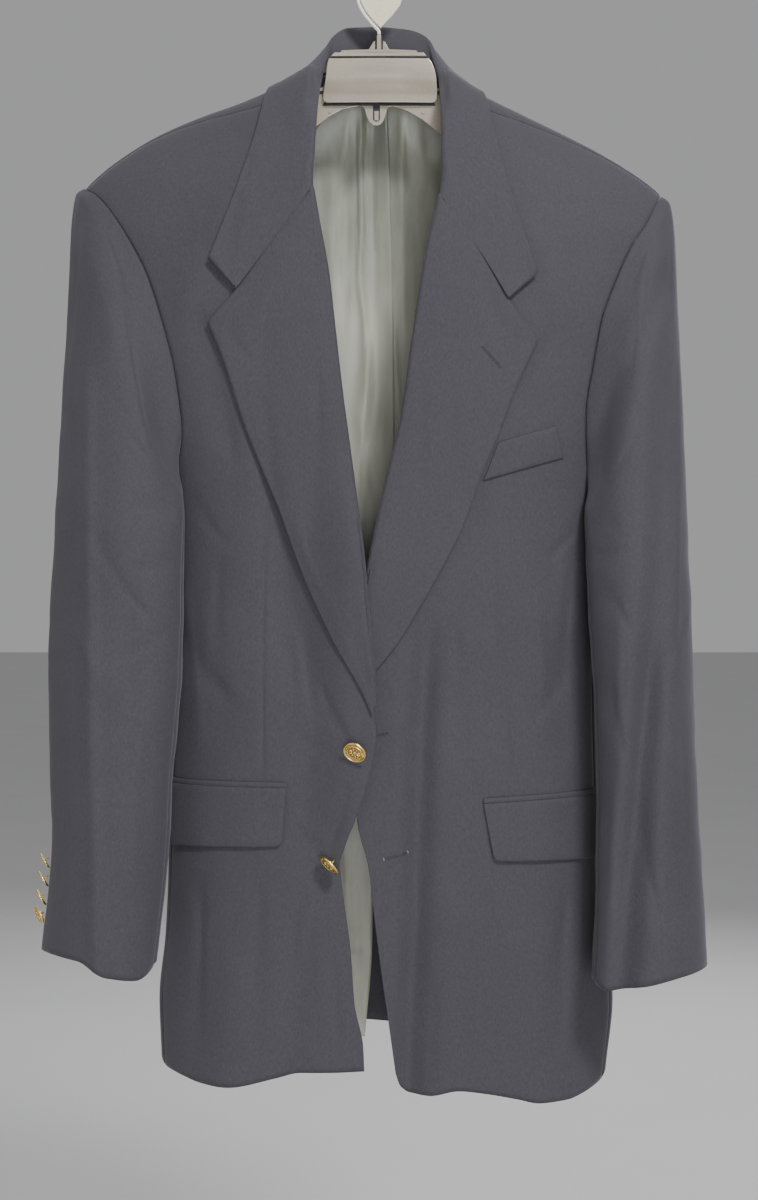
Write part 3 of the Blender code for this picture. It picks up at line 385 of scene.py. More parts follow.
class Graph:
    """The node tree of one finish."""

    def __init__(self, name: str) -> None:
        """Makes a material with an empty Principled shader."""
        self.material = bpy.data.materials.new(name)
        self.material.use_nodes = True
        self.tree = self.material.node_tree
        self.shader = self.tree.nodes["Principled BSDF"]

    def link(self, socket: Any, value: Any) -> None:
        """Sets a socket to a number or colour, or links it to a value."""
        if isinstance(value, Value):
            self.tree.links.new(value.socket, socket)
        elif value is not None:
            socket.default_value = value

    def node(self, kind: str, settings: dict[str, Any], inputs: Any = (), output: int | str = 0) -> Value:
        """Adds a node.

        Args:
            kind: The node's type.
            settings: Its settings, which are made first. "stops" holds a ramp's stops.
            inputs: The values of its sockets, in order or by name.
            output: The output that is wanted.

        Returns:
            The output as a value.
        """
        made = self.tree.nodes.new(kind)
        for key, value in settings.items():
            if key == "stops":
                self.set_stops(made.color_ramp, value)
            else:
                setattr(made, key, value)
        pairs = inputs.items() if isinstance(inputs, dict) else enumerate(inputs)
        for key, value in pairs:
            self.link(made.inputs[key], value)
        return Value(self, made.outputs[output])

    def set_stops(self, ramp: Any, stops: Sequence[tuple[float, Row]]) -> None:
        """Sets a ramp's places and colours."""
        while len(ramp.elements) < len(stops):
            ramp.elements.new(0.5)
        for element, (place, color) in zip(ramp.elements, stops):
            element.position = place
            element.color = (*color, 1)

    def place(self, uv: bool, scale: Row = (1, 1, 1), turn: float = 0.0) -> Value:
        """Where the pattern is read.

        Args:
            uv: Whether the piece's own cut is read, or else its place in the object.
            scale: The pattern's scale each way.
            turn: The pattern's turn about its third axis, in degrees.

        Returns:
            The coordinates.
        """
        if uv:
            source = self.node("ShaderNodeUVMap", {"uv_map": "cut"})
        else:
            source = self.node("ShaderNodeTexCoord", {}, (), "Object")
        inputs = {"Vector": source, "Scale": scale, "Rotation": (0, 0, math.radians(turn))}
        return self.node("ShaderNodeMapping", {}, inputs)

    def height(self) -> Value:
        """The height of a place in the object, in metres."""
        return self.node("ShaderNodeSeparateXYZ", {}, (self.place(False),), "Z")

    def grain(self, where: Value, scale: float, detail: float = 2.0, rough: float = 0.5) -> Value:
        """A noise of 0 to 1 at that scale a metre."""
        inputs = {"Vector": where, "Scale": scale, "Detail": detail, "Roughness": rough}
        return self.node("ShaderNodeTexNoise", {}, inputs)

    def tint(self, share: Value, low: Row | Value, high: Row) -> Value:
        """A colour between two."""
        inputs = {6: (*low, 1) if isinstance(low, tuple) else low, 7: (*high, 1), 0: share}
        return self.node("ShaderNodeMix", {"data_type": "RGBA"}, inputs, 2)

    def bump(self, height: Value, distance: float, strength: float = 1.0) -> Value:
        """A normal from a height."""
        inputs = {"Strength": strength, "Distance": distance, "Height": height}
        return self.node("ShaderNodeBump", {}, inputs)

    def finish(self, **sockets: Any) -> bpy.types.Material:
        """Fills the shader's sockets, named with _ for a space, and returns the material."""
        for name, value in sockets.items():
            self.link(self.shader.inputs[name.replace("_", " ")], value)
        return self.material


@dataclass(frozen=True)
class Wool:
    """Fine worsted in dark slate navy."""

    name: str = "worsted"
    dark: Row = (0.032, 0.0308, 0.0375)
    light: Row = (0.052, 0.0500, 0.0600)
    lint: Row = (0.22, 0.22, 0.22)

    def build(self) -> bpy.types.Material:
        """The worsted's material."""
        g = Graph(self.name)
        across = g.grain(g.place(True, (1, 0.2, 1)), 1500, 1.0)
        down = g.grain(g.place(True, (0.16, 1, 1)), 1300, 1.0)
        twill = g.grain(g.place(True, (1, 0.25, 1), 52), 700, 1.0)
        cloud = g.grain(g.place(False), 9, 3.0)
        heather = g.grain(g.place(False, (1, 1, 0.6)), 640, 2.0)
        thread = across * 0.4 + down * 0.35 + twill * 0.25
        share = (thread - 0.5) * 1.5 + (heather - 0.5) * 1.1 + cloud * 0.6 + 0.2
        base = g.tint(share, self.dark, self.light)
        inputs = {"Vector": g.place(False), "Scale": 55.0}
        settings = {"feature": "F1"}
        spot = g.node("ShaderNodeTexVoronoi", settings, inputs, "Distance")
        pick = g.node("ShaderNodeTexVoronoi", settings, inputs, "Color")
        rare = g.node("ShaderNodeSeparateColor", {}, (pick,)).math("GREATER_THAN", 0.965)
        speck = (1 - spot.step(0.02, 0.05)) * rare * 0.5
        return g.finish(
            Base_Color=g.tint(speck, base, self.lint), Roughness=0.72 + cloud * 0.1, Specular_IOR_Level=0.28,
            Sheen_Weight=0.12, Sheen_Roughness=0.5, Sheen_Tint=(0.88, 0.85, 0.95, 1),
            Normal=g.bump(thread, 0.00022, 0.55),
        )


@dataclass(frozen=True)
class Satin:
    """The lining's grey-green satin with paler and darker streaks of painted sheen, and painted shade that
    leaves it darker towards the top.
    """

    name: str = "satin"
    dark: Row = (0.12, 0.124, 0.096)
    mid: Row = (0.225, 0.23, 0.178)
    pale: Row = (0.44, 0.44, 0.36)
    teal: Row = (0.105, 0.14, 0.122)

    def build(self) -> bpy.types.Material:
        """The satin's material."""
        g = Graph(self.name)
        # Painted sheen: stretched noise paints paler and darker vertical streaks; it also varies the
        # roughness and the bump.
        painted_sheen_streak = g.grain(g.place(False, (1, 1, 0.16)), 26, 4.0, 0.6)
        cloud = g.grain(g.place(False, (1, 1, 0.5)), 11, 3.0)
        threads = g.grain(g.place(True, (1, 0.1, 1)), 1500, 1.0)
        stops = ((0.28, self.dark), (0.5, self.mid), (0.74, self.pale))
        height = g.height()
        # Painted shade: the height step leaves the lining darker towards the top, where the collar shades it.
        share = painted_sheen_streak * 0.75 + cloud * 0.25 + (threads - 0.5) * 0.08 + height.step(-0.16, -0.34) * 0.2
        base = g.node("ShaderNodeValToRGB", {"stops": stops}, (share,))
        return g.finish(
            Base_Color=g.tint(cloud.step(0.52, 0.72) * 0.35, base, self.teal),
            Roughness=0.34 + painted_sheen_streak * 0.16, Specular_IOR_Level=0.6, Sheen_Weight=0.1,
            Normal=g.bump(threads + painted_sheen_streak * 4, 0.0002, 0.5),
        )


@dataclass(frozen=True)
class Thread:
    """Sewing thread in one colour, with painted shade between its plies."""

    name: str
    color: Row

    def build(self) -> bpy.types.Material:
        """The thread's material."""
        g = Graph(self.name)
        ply = g.grain(g.place(False), 1800, 2.0)
        # Painted shade: the noise darkens the thread between its plies.
        ply_shade = tuple(c * 0.55 for c in self.color)
        return g.finish(
            Base_Color=g.tint(ply, ply_shade, self.color), Roughness=0.7, Sheen_Weight=0.2,
            Normal=g.bump(ply, 0.0002, 0.6),
        )


@dataclass(frozen=True)
class Gilt:
    """Gilded brass, browner in its recesses."""

    name: str = "gilt"
    bright: Row = (0.88, 0.64, 0.22)
    brown: Row = (0.26, 0.15, 0.045)

    def build(self) -> bpy.types.Material:
        """The gilt's material."""
        g = Graph(self.name)
        recess = g.node("ShaderNodeAttribute", {"attribute_name": "recess"}, (), "Fac")
        wear = g.grain(g.place(False), 420, 3.0, 0.6)
        share = (recess * 0.85 + (wear - 0.5) * 0.5).step(0.0, 1.0)
        return g.finish(
            Base_Color=g.tint(share, self.bright, self.brown), Metallic=1.0,
            Roughness=0.26 + share * 0.3, Normal=g.bump(wear, 0.0001, 0.4),
        )


@dataclass(frozen=True)
class Plastic:
    """The hanger's grey moulded plastic, slightly cloudy, with a painted dark band across the plate that
    stands in for a reflection.
    """

    name: str = "moulded"
    low: Row = (0.235, 0.208, 0.165)
    high: Row = (0.34, 0.303, 0.245)

    def build(self) -> bpy.types.Material:
        """The plastic's material."""
        g = Graph(self.name)
        cloud = g.grain(g.place(False), 38, 3.0)
        fine = g.grain(g.place(False), 900, 2.0)
        height = g.height()
        # Painted reflection: a darker band across the plate at this height stands in for the dark
        # surroundings mirrored in the gloss.
        painted_dark_reflection = height.step(-0.103, -0.112) * (1 - height.step(-0.114, -0.122))
        return g.finish(
            Base_Color=g.tint(cloud * 0.6 + 0.4 - painted_dark_reflection, self.low, self.high), Roughness=0.2 + fine * 0.12,
            Specular_IOR_Level=0.55, Coat_Weight=0.25, Normal=g.bump(cloud + fine * 0.05, 0.0006, 0.4),
        )


@dataclass(frozen=True)
class Enamel:
    """A smooth coat: the wire's white or its web's cream; also the near-black painted shade of a slot, a
    groove or a buttonhole's slit.
    """

    name: str
    low: Row
    high: Row

    def build(self) -> bpy.types.Material:
        """The enamel's material."""
        g = Graph(self.name)
        cloud = g.grain(g.place(False), 60, 3.0)
        fine = g.grain(g.place(False), 700, 2.0)
        return g.finish(
            Base_Color=g.tint(cloud, self.low, self.high), Roughness=0.28 + fine * 0.12,
            Normal=g.bump(fine, 0.0001, 0.4),
        )


@dataclass(frozen=True)
class Plain:
    """The floor's matt paint."""

    name: str = "floor_paint"
    low: Row = (0.56, 0.56, 0.57)
    high: Row = (0.60, 0.60, 0.60)

    def build(self) -> bpy.types.Material:
        """The floor's material."""
        g = Graph(self.name)
        cloud = g.grain(g.place(False), 3, 3.0)
        return g.finish(Base_Color=g.tint(cloud, self.low, self.high), Roughness=0.85)


class Finishes:
    """Every finish of the blazer, made once."""

    def __init__(self) -> None:
        """Builds the materials."""
        self.wool = Wool().build()
        self.satin = Satin().build()
        self.gilt = Gilt().build()
        self.plastic = Plastic().build()
        self.wire = Enamel("white_enamel", (0.62, 0.61, 0.58), (0.76, 0.75, 0.71)).build()
        self.cream = Enamel("cream_enamel", (0.62, 0.57, 0.42), (0.72, 0.67, 0.52)).build()
        self.navy_thread = Thread("navy_thread", (0.022, 0.023, 0.032)).build()
        self.hole_thread = Thread("hole_thread", (0.055, 0.053, 0.065)).build()
        self.pale_thread = Thread("pale_thread", (0.34, 0.34, 0.36)).build()
        # Painted shade: a near-black coat for the slits, slots and grooves where only shade lies.
        self.shadow = Enamel("painted_shade_black", (0.012, 0.012, 0.012), (0.02, 0.02, 0.02)).build()
        self.floor = Plain().build()


Place = Callable[[int, int], "Vector | None"]
Edge = Callable[[float], Row]


def dress(obj: bpy.types.Object, finish: bpy.types.Material, slot: str, *nodes: str) -> bpy.types.Object:
    """Gives a piece its finish, its body and the solids that it stands for.

    Args:
        obj: The piece, in place.
        finish: Its material.
        slot: The record's material slot. It is not used.
        nodes: The solids that it replaces.

    Returns:
        The piece.
    """
    obj.data.materials.append(finish)
    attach(obj, "root")
    if nodes:
        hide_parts(*nodes)
    return obj


def linked(name: str, data: Any) -> bpy.types.Object:
    """A new object of that data in the scene."""
    made = bpy.data.objects.new(name, data)
    bpy.context.scene.collection.objects.link(made)
    return made


def from_bmesh(name: str, mesh: bmesh.types.BMesh, smooth: bool = True) -> bpy.types.Object:
    """A new object from a bmesh, which is freed."""
    data = bpy.data.meshes.new(name)
    mesh.to_mesh(data)
    mesh.free()
    if smooth:
        data.shade_smooth()
    return linked(name, data)


def lay(name: str, size: tuple[int, int], place: Place, wall: float, cut: Row) -> bpy.types.Object:
    """Lays a grid of cloth on a surface and gives it a wall.

    Args:
        name: The piece's name.
        size: How many faces it has across and down.
        place: The point for a column and a row, in millimetres, or None for an open place.
        wall: The cloth's thickness in millimetres.
        cut: The width and length that its weave is laid on, in metres.

    Returns:
        The piece.
    """
    mesh = bmesh.new()
    bmesh.ops.create_grid(mesh, x_segments=size[0], y_segments=size[1], size=0.5)
    weave = mesh.loops.layers.uv.new("cut")
    for face in mesh.faces:
        for loop in face.loops:
            co = loop.vert.co
            loop[weave].uv = ((co.x + 0.5) * cut[0], (co.y + 0.5) * cut[1])
    open_places = []
    for vert in mesh.verts:
        column, row = round((vert.co.x + 0.5) * size[0]), round((0.5 - vert.co.y) * size[1])
        point = place(column, row)
        if point is None:
            open_places.append(vert)
        else:
            vert.co = point * MM
    bmesh.ops.delete(mesh, geom=open_places, context="VERTS")
    made = from_bmesh(name, mesh)
    solid = made.modifiers.new("wall", "SOLIDIFY")
    solid.thickness = wall * MM
    solid.offset = 0
    return made


def thread_line(name: str, runs: Sequence[Sequence[Vector]], thick: float) -> bpy.types.Object:
    """Threads or wires along runs of points, as one curve.

    Args:
        name: The piece's name.
        runs: The points of each run, in millimetres.
        thick: The thread's thickness in millimetres.

    Returns:
        The piece.
    """
    data = bpy.data.curves.new(name, "CURVE")
    data.dimensions = "3D"
    data.bevel_depth = thick / 2 * MM
    data.bevel_resolution = 2
    data.use_fill_caps = True
    for run in runs:
        spline = data.splines.new("POLY")
        spline.points.add(len(run) - 1)
        for point, place in zip(spline.points, run):
            point.co = (*(place * MM), 1)
    return linked(name, data)


class Patch:
    """A four-edged patch of a panel in x and z, worked out for a grid."""

    def __init__(self, top: Edge, bottom: Edge, inner: Edge, outer: Edge,
                 columns: list[float], rows: list[float]) -> None:
        """Reads the edges once for each column and row.

        Args:
            top: The top edge over 0 to 1, from inner to outer.
            bottom: The bottom edge.
            inner: The inner edge over 0 to 1, from the top down.
            outer: The outer edge.
            columns: The share of each column.
            rows: The share of each row.
        """
        self.columns, self.rows = columns, rows
        self.top, self.bottom = [top(s) for s in columns], [bottom(s) for s in columns]
        self.inner, self.outer = [inner(t) for t in rows], [outer(t) for t in rows]
        self.corners = (top(0), top(1), bottom(0), bottom(1))

    def at(self, column: int, row: int) -> tuple[float, float]:
        """The x and z of a place of the grid."""
        s, t = self.columns[column], self.rows[row]
        edges = (self.top[column], self.bottom[column], self.inner[row], self.outer[row])
        shares = (1 - t, t, 1 - s, s)
        weights = ((1 - s) * (1 - t), s * (1 - t), (1 - s) * t, s * t)
        x, z = (
            sum(w * e[k] for w, e in zip(shares, edges))
            - sum(w * c[k] for w, c in zip(weights, self.corners))
            for k in range(2)
        )
        return x, z


@dataclass
class Cutting:
    """The panels' edges, which neighbours share."""

    neck_out: float = 65.0
    armhole_gap: float = 0.45
    seam_gap: float = 0.25
    edge_tuck: float = 2.6
    armhole_front: dict[int, Rows] = both(
        ((250, -198), (238, -207), (223, -225), (208, -248), (193, -277), (181, -313), (169, -362),
         (164, -410), (168, -434), (175, -448)),
        ((240, -205), (236, -211), (223, -234), (210, -254), (195, -287), (185, -315), (178, -353),
         (172, -393), (173, -437), (181, -462)),
    )
    armhole_back: dict[int, Rows] = both(
        ((250, -198), (236, -212), (220, -240), (205, -280), (195, -325), (184, -380), (175, -425),
         (175, -448)),
        ((240, -205), (232, -218), (218, -246), (204, -286), (197, -330), (190, -385), (182, -440),
         (181, -462)),
    )
    underarm: dict[int, float] = both(-462.0, -477.0)
    front_edge: dict[int, Rows] = both(
        ((-65, -118), (-60, -150), (-57, -191), (-50, -235), (-42, -280), (-38, -315), (-32, -368),
         (-22, -443), (-13, -512), (-9, -560), (-4, -618), (-4, -643), (-2, -658), (-8, -692),
         (-19, -726), (-29, -753), (-32, -764), (-30, -784), (-23, -838), (-20, -879), (-13, -913),
         (-12, -934)),
        ((65, -124), (60, -152), (55, -190), (50, -215), (40, -259), (28, -335), (19, -399),
         (13, -424), (2, -471), (-9, -524), (-18, -597), (-20, -660), (-18, -726), (-8, -771),
         (-4, -807), (3, -861), (8, -895), (14, -937)),
    )
    front_hem: dict[int, Rows] = both(
        ((-12, -934), (-31, -935), (-64, -936), (-85, -941), (-127, -949), (-148, -947),
         (-163, -943), (-180, -938)),
        ((14, -937), (18, -948), (25, -953), (41, -954), (64, -950), (87, -953), (113, -958),
         (133, -962), (156, -961), (170, -957), (188, -949)),
    )
    side_hem: dict[int, Row] = both((-938, -930, -926), (-949, -941, -936))
    back_hem: dict[int, Row] = both((-926, -932), (-936, -918))
    back_neck: dict[int, Rows] = both(
        ((20, -89), (40, -93), (57, -97.5)), ((20, -89.5), (40, -95), (57, -101.3)),
    )
    centre_back: Rows = ((-88, -0.3, 0.3), (-600, -0.3, 0.3), (-690, -0.3, 0.3), (-720, -2, 4),
                         (-800, -6, 8), (-880, -9, 11), (-940, -13, 14))
    break_z: dict[int, float] = both(-634.0, -618.0)

    def __post_init__(self) -> None:
        """Makes the visible front edges as x over z."""
        self.edge_at = {side: Fair.over([(z, x) for x, z in rows]) for side, rows in self.front_edge.items()}

    def tuck(self, side: int, z: float) -> float:
        """How far the front's own cloth stops behind the rolled edge."""
        return side * self.edge_tuck * ease((z - self.break_z[side]) / 40)

    def shoulder_x(self, side: int, s: float) -> float:
        """Where a column of the front or the back meets the shoulder seam."""
        tip = self.armhole_front[side][0][0] - self.armhole_gap
        return side * (self.neck_out + (tip - self.neck_out) * s)

    def side_seam(self, side: int, top: float, hem: float) -> list[Row]:
        """The seam to the side body from the armhole down."""
        steps = 8
        zs = [top + (hem - top) * k / steps for k in range(1, steps + 1)]
        return [(TORSO.seam_x(side, z) - side * self.seam_gap, z) for z in zs]


CUT = Cutting()


@dataclass
class Front:
    """A front panel, with its dart, its folds and the lift of the overlap."""

    side: Side
    size: tuple[int, int] = (116, 200)
    wide: float = 230.0
    pitch: float = 2.4
    overlap_lift: float = 8.5
    overlap_x: Row = (-62.0, -22.0)
    overlap_z: Row = (-415.0, -505.0, -705.0, -790.0)
    large: dict[int, Rows] = both(
        ((-60, -800, -75, -930, 16, 3.0), (-120, -820, -128, -945, 20, -3.0)),
        ((41, -520, 25, -915, 11, 8.0), (62, -760, 58, -945, 18, -3.0), (128, -800, 134, -950, 22, -3.0)),
    )
    fine: dict[int, Rows] = both(
        (
            (-91.4, -462, -95.8, -640, 2.6, 1.0, 1.2), (-95.6, -610, -95.4, -704, 2.6, 1.0, 0.0),
            (-92, -410, -52, -655, 17, 5.2, 4, 0.2), (-176, -560, -110, -640, 13, 1.8, 5, 0.2),
            (-152, -300, -118, -450, 12, 2.2, -4, 0.3), (-118, -205, -166, -330, 11, -1.6, 5, 0.2),
            (-104, -150, -186, -196, 14, 1.3, 6, 0.0), (-158, -452, -120, -505, 7, 1.0, 4, 0.3),
            (-166, -520, -150, -690, 9, -1.1, -5, 0.2), (-130, -500, -128, -680, 10, 0.9, 4, 0.1),
            (-72, -560, -60, -672, 9, -1.2, -3, 0.2), (-48, -612, -20, -668, 5, 1.5, 3, 0.4),
            (-58, -690, -24, -664, 5, -0.9, -2, 0.3), (-70, -655, -26, -680, 4, 0.8, 2, 0.4),
            (-24, -690, -44, -762, 6, 1.3, -3, 0.3), (-44, -756, -80, -738, 5, 0.9, 2, 0.3),
            (-46, -772, -66, -850, 8, -1.3, 4, 0.3), (-40, -830, -34, -925, 6, 0.9, -2, 0.3),
            (-94, -770, -100, -935, 11, 1.2, 4, 0.2), (-148, -765, -154, -940, 9, 1.5, -4, 0.3),
            (-110, -350, -96, -452, 7, 0.8, 3, 0.2),
        ),
        (
            (93, -497, 106.5, -640, 2.6, 1.0, 1.0), (105.6, -616, 112.8, -708, 2.6, 1.0, 0.0),
            (88, -420, 32, -640, 18, 2.8, -4, 0.2), (172, -560, 120, -660, 13, 1.8, -5, 0.2),
            (118, -225, 160, -345, 12, -1.8, -5, 0.2), (104, -160, 180, -205, 14, 1.3, -6, 0.0),
            (148, -318, 122, -400, 10, 1.5, 4, 0.3), (176, -470, 132, -520, 8, 1.3, -4, 0.3),
            (170, -452, 150, -560, 6, -0.9, 3, 0.2), (160, -530, 156, -690, 10, 1.1, 5, 0.2),
            (128, -520, 136, -690, 9, -0.9, -4, 0.1), (64, -560, 74, -700, 11, 1.1, 4, 0.2),
            (20, -640, 12, -700, 6, -1.0, 2, 0.3), (8, -664, 46, -690, 5, 1.0, -3, 0.4),
            (10, -668, 36, -636, 5, 0.8, 2, 0.3), (22, -758, 58, -742, 5, 0.9, -2, 0.3),
            (20, -764, 34, -820, 6, -0.9, 3, 0.3), (86, -780, 92, -945, 12, 1.3, -4, 0.2),
            (158, -775, 152, -950, 10, 1.7, 5, 0.3), (44, -850, 40, -948, 6, 0.8, -2, 0.2),
            (112, -420, 100, -492, 7, 0.7, 3, 0.2),
        ),
    )

    def __post_init__(self) -> None:
        """Makes the creases and the patch."""
        side = self.side
        self.creases = creases_of(self.fine[side])
        hem = CUT.front_hem[side]
        hem = (*hem[:-1], (TORSO.seam_x(side, hem[-1][1]) - side * CUT.seam_gap, hem[-1][1]))
        holes = [(side * (out - CUT.armhole_gap), z) for out, z in CUT.armhole_front[side]]
        last = holes[-1][1]
        holes = [self.top(1), *holes[1:-1], (TORSO.seam_x(side, last) - side * CUT.seam_gap, last)]
        tucked = [(x + CUT.tuck(side, z), z) for x, z in CUT.front_edge[side][1:]]
        self.edge = Fair.along([self.top(0), *tucked])
        outer = Fair.along(holes + CUT.side_seam(side, last, hem[-1][1]))
        columns, rows = even(self.size[0]), even(self.size[1], 1.15)
        self.patch = Patch(self.top, Fair.along(hem), self.edge, outer, columns, rows)

    def top(self, s: float) -> Row:
        """The shoulder seam."""
        x = CUT.shoulder_x(self.side, s)
        return x, TORSO.ridge(x) - TORSO.drop_at.one(abs(x)) - CUT.seam_gap

    def lift(self, x: float, z: float) -> float:
        """How far the left front is lifted where it lies over the right one."""
        across = ease((x - self.overlap_x[0]) / (self.overlap_x[1] - self.overlap_x[0]))
        start, full, still, end = self.overlap_z
        lifted = self.overlap_lift * across * ease((start - z) / (start - full))
        return lifted * ease((z - end) / (still - end))

    def on(self, x: float, z: float, off: float = 0.0, smooth: float = 1.0) -> Vector:
        """A place on the cloth, moved out from it.

        Args:
            x: The place across.
            z: The height.
            off: How far it is moved out.
            smooth: How much of the small creases is followed.

        Returns:
            The point in millimetres.
        """
        y = TORSO.y(x, z) + fold_depth(self.large[self.side], x, z)
        if smooth:
            flat = Vector((x, 0, z))
            y += smooth * (creased(self.creases, x, z) + rumple(flat, 46, 0.7) + rumple(flat, 17, 0.22))
        if self.side == Side.LEFT:
            y -= self.lift(x, z)
        return Vector((x, y, z)) + TORSO.normal(x, z) * off

    def place(self, column: int, row: int) -> Vector:
        """A point of the panel, with its seam edges turned in."""
        x, z = self.patch.at(column, row)
        s = self.patch.columns[column]
        from_seam = min((1 - s) * self.wide, row * self.pitch)
        return self.on(x, z, -0.6 * bell(from_seam, 2.0))

    def build(self, finishes: Finishes) -> None:
        """Makes the panel."""
        word = self.side.word
        made = lay(f"front_panel_{word}", self.size, self.place, WALL, (0.25, 0.84))
        dress(made, finishes.wool, "navy_wool", f"front_{word}")


@dataclass
class SideBody:
    """The panel round the corner between the front and the back."""

    side: Side
    size: tuple[int, int] = (30, 130)
    top_gap: float = 2.0
    wide: float = 22.0
    fine: Rows = (
        (-0.5, -500, 0.1, -640, 0.22, 0.9, 0.05, 0.2), (0.2, -560, -0.2, -760, 0.2, -0.8, 0.04, 0.1),
        (0.45, -640, 0.2, -860, 0.2, 0.9, -0.05, 0.2), (-0.3, -760, 0.1, -925, 0.22, 1.0, 0.05, 0.2),
    )

    def __post_init__(self) -> None:
        """Makes the creases."""
        self.creases = creases_of(self.fine)

    def place(self, column: int, row: int) -> Vector:
        """A point of the panel, with its seam edges turned in."""
        side = self.side
        across, t = (2 * column / self.size[0] - 1) * 0.975, row / self.size[1]
        front = across < 0
        holes = (CUT.armhole_front if front else CUT.armhole_back)[side]
        low, (hem_front, hem_mid, hem_back) = CUT.underarm[side], CUT.side_hem[side]
        top = low + (holes[-1][1] - self.top_gap - low) * across**2
        hem = hem_mid + ((hem_front if front else hem_back) - hem_mid) * across**2
        z = top + (hem - top) * t
        share = 1 - (1 - TORSO.seam_share) * abs(across) ** TORSO.corner_power
        x = side * TORSO.half_width(side, z) * share
        sink = 0.4 * bell((1 - abs(across)) * self.wide, 2) + creased(self.creases, across, z)
        return Vector((x - side * sink, TORSO.y(x, z, back=not front), z))

    def build(self, finishes: Finishes) -> None:
        """Makes the panel."""
        word = self.side.word
        made = lay(f"side_panel_{word}", self.size, self.place, WALL, (0.06, 0.48))
        dress(made, finishes.wool, "navy_wool", f"side_{word}")


@dataclass
class Back:
    """A back panel, with the part that runs over the ridge to the shoulder seam."""

    side: Side
    size: tuple[int, int] = (100, 166)
    laps: int = 14
    neck_columns: int = 21
    wide: float = 240.0
    lap_pitch: float = 1.3
    vent_lap: float = 9.0
    vent_blend: float = 14.0
    fine: Rows = (
        (70, -150, 150, -330, 16, 1.6, -8, 0.2), (150, -250, 60, -420, 15, -1.5, 9, 0.2),
        (176, -430, 110, -520, 10, 1.8, -6, 0.3), (170, -470, 90, -600, 9, 1.2, 7, 0.3),
        (20, -120, 34, -300, 14, 1.1, 4, 0.1), (60, -420, 52, -700, 17, 1.8, 8, 0.2),
        (116, -520, 122, -820, 16, -1.9, -8, 0.2), (150, -600, 146, -910, 13, 1.9, 6, 0.2),
        (84, -700, 90, -925, 15, 2.2, -6, 0.2), (34, -660, 46, -900, 10, -1.3, 5, 0.2),
        (14, -560, 60, -600, 8, 1.0, 3, 0.3), (10, -690, 44, -740, 7, 1.4, -3, 0.4),
        (120, -180, 196, -230, 10, 1.2, 6, 0.2), (40, -96, 120, -150, 9, 0.9, -5, 0.1),
        (128, -395, 150, -450, 6, 0.9, 3, 0.2), (26, -300, 40, -480, 12, -0.9, -4, 0.1),
    )

    def __post_init__(self) -> None:
        """Makes the patch of the part behind the ridge."""
        side = self.side
        self.centre = Fair.over(CUT.centre_back, 1 if side < 0 else 2)
        other = Fair.over(CUT.centre_back, 1)
        self.creases = creases_of([self.moved(row) for row in self.fine])
        neck = [(side * 0.3, -88)] + [(side * out, z) for out, z in CUT.back_neck[side]]
        self.neck = Fair.along(neck + [(side * CUT.neck_out, TORSO.ridge(side * CUT.neck_out))])
        self.neck_share = self.neck_columns / self.size[0]
        holes = [(side * (out - CUT.armhole_gap), z) for out, z in CUT.armhole_back[side]]
        last = holes[-1][1]
        hem_side, hem_centre = CUT.back_hem[side]
        holes = [self.top(1), *holes[1:-1], (TORSO.seam_x(side, last) - side * CUT.seam_gap, last)]
        outer = Fair.along(holes + CUT.side_seam(side, last, hem_side))
        hem_in, hem_out = (self.centre.one(hem_centre), hem_centre), outer(1)

        def bottom(s: float) -> Row:
            """The hem."""
            return between(hem_in, hem_out, s)

        def inner(t: float) -> Row:
            """The centre back. At the vent the right panel laps under the left one."""
            z = -88 + (hem_centre + 88) * t
            x = self.centre.one(z)
            if side > 0:
                x += (other.one(z) - self.vent_lap - x) * ease((VENT_TOP - z) / self.vent_blend)
            return x, z

        rows = even(self.size[1] - self.laps, 1.5)
        self.patch = Patch(self.top, bottom, inner, outer, even(self.size[0]), rows)

    def moved(self, row: Row) -> Row:
        """A crease's row on this side. The right half's creases hang lower and are wider."""
        a0, b0, a1, b1, half, deep, bow, skew = row
        if self.side == Side.LEFT:
            return -a0, b0, -a1, b1, half, deep, bow, skew
        return a0 + 5, b0 - 9, a1 - 3, b1 - 4, half * 1.1, deep * 0.9, -bow * 0.8, skew

    def top(self, s: float) -> Row:
        """The neck's edge, then the ridge."""
        if s < self.neck_share:
            return self.neck(s / self.neck_share)
        x = CUT.shoulder_x(self.side, (s - self.neck_share) / (1 - self.neck_share))
        return x, TORSO.ridge(x)

    def place(self, column: int, row: int) -> Vector | None:
        """A point of the panel, or None in the neck beside the part over the ridge."""
        s = column / self.size[0]
        if row < self.laps:
            if s < self.neck_share - 0.001:
                return None
            x, z = self.top(s)
            share = (1 - row / self.laps) ** 2
            z -= (TORSO.drop_at.one(abs(x)) - CUT.seam_gap) * share
            off = -0.5 * bell(row * self.lap_pitch, 2.0) - 0.6 * bell((1 - s) * self.wide, 2.2)
            return Vector((x, TORSO.y(x, z), z)) + TORSO.normal(x, z - 1) * off
        x, z = self.patch.at(column, row - self.laps)
        flat = Vector((x, 50, z))
        fade = ease((TORSO.ridge(x) - z) / 25)
        sink = (creased(self.creases, x, z) + rumple(flat, 52, 0.9) + rumple(flat, 18, 0.25)) * fade
        sink += 0.6 * bell((1 - s) * self.wide, 2.2)
        if z > VENT_TOP:
            sink += 0.8 * bell(s * self.wide, 2.0) * ease((z - VENT_TOP) / 8)
        elif self.side > 0:
            sink += 2.8 * ease((VENT_TOP - z) / self.vent_blend) * (1 - ease((x - 2) / 22))
        return Vector((x, TORSO.y(x, z, True), z)) - TORSO.normal(x, z - 1, True) * sink

    def build(self, finishes: Finishes) -> None:
        """Makes the panel."""
        word = self.side.word
        made = lay(f"back_panel_{word}", self.size, self.place, WALL, (0.25, 0.86))
        dress(made, finishes.wool, "navy_wool", f"back_{word}")


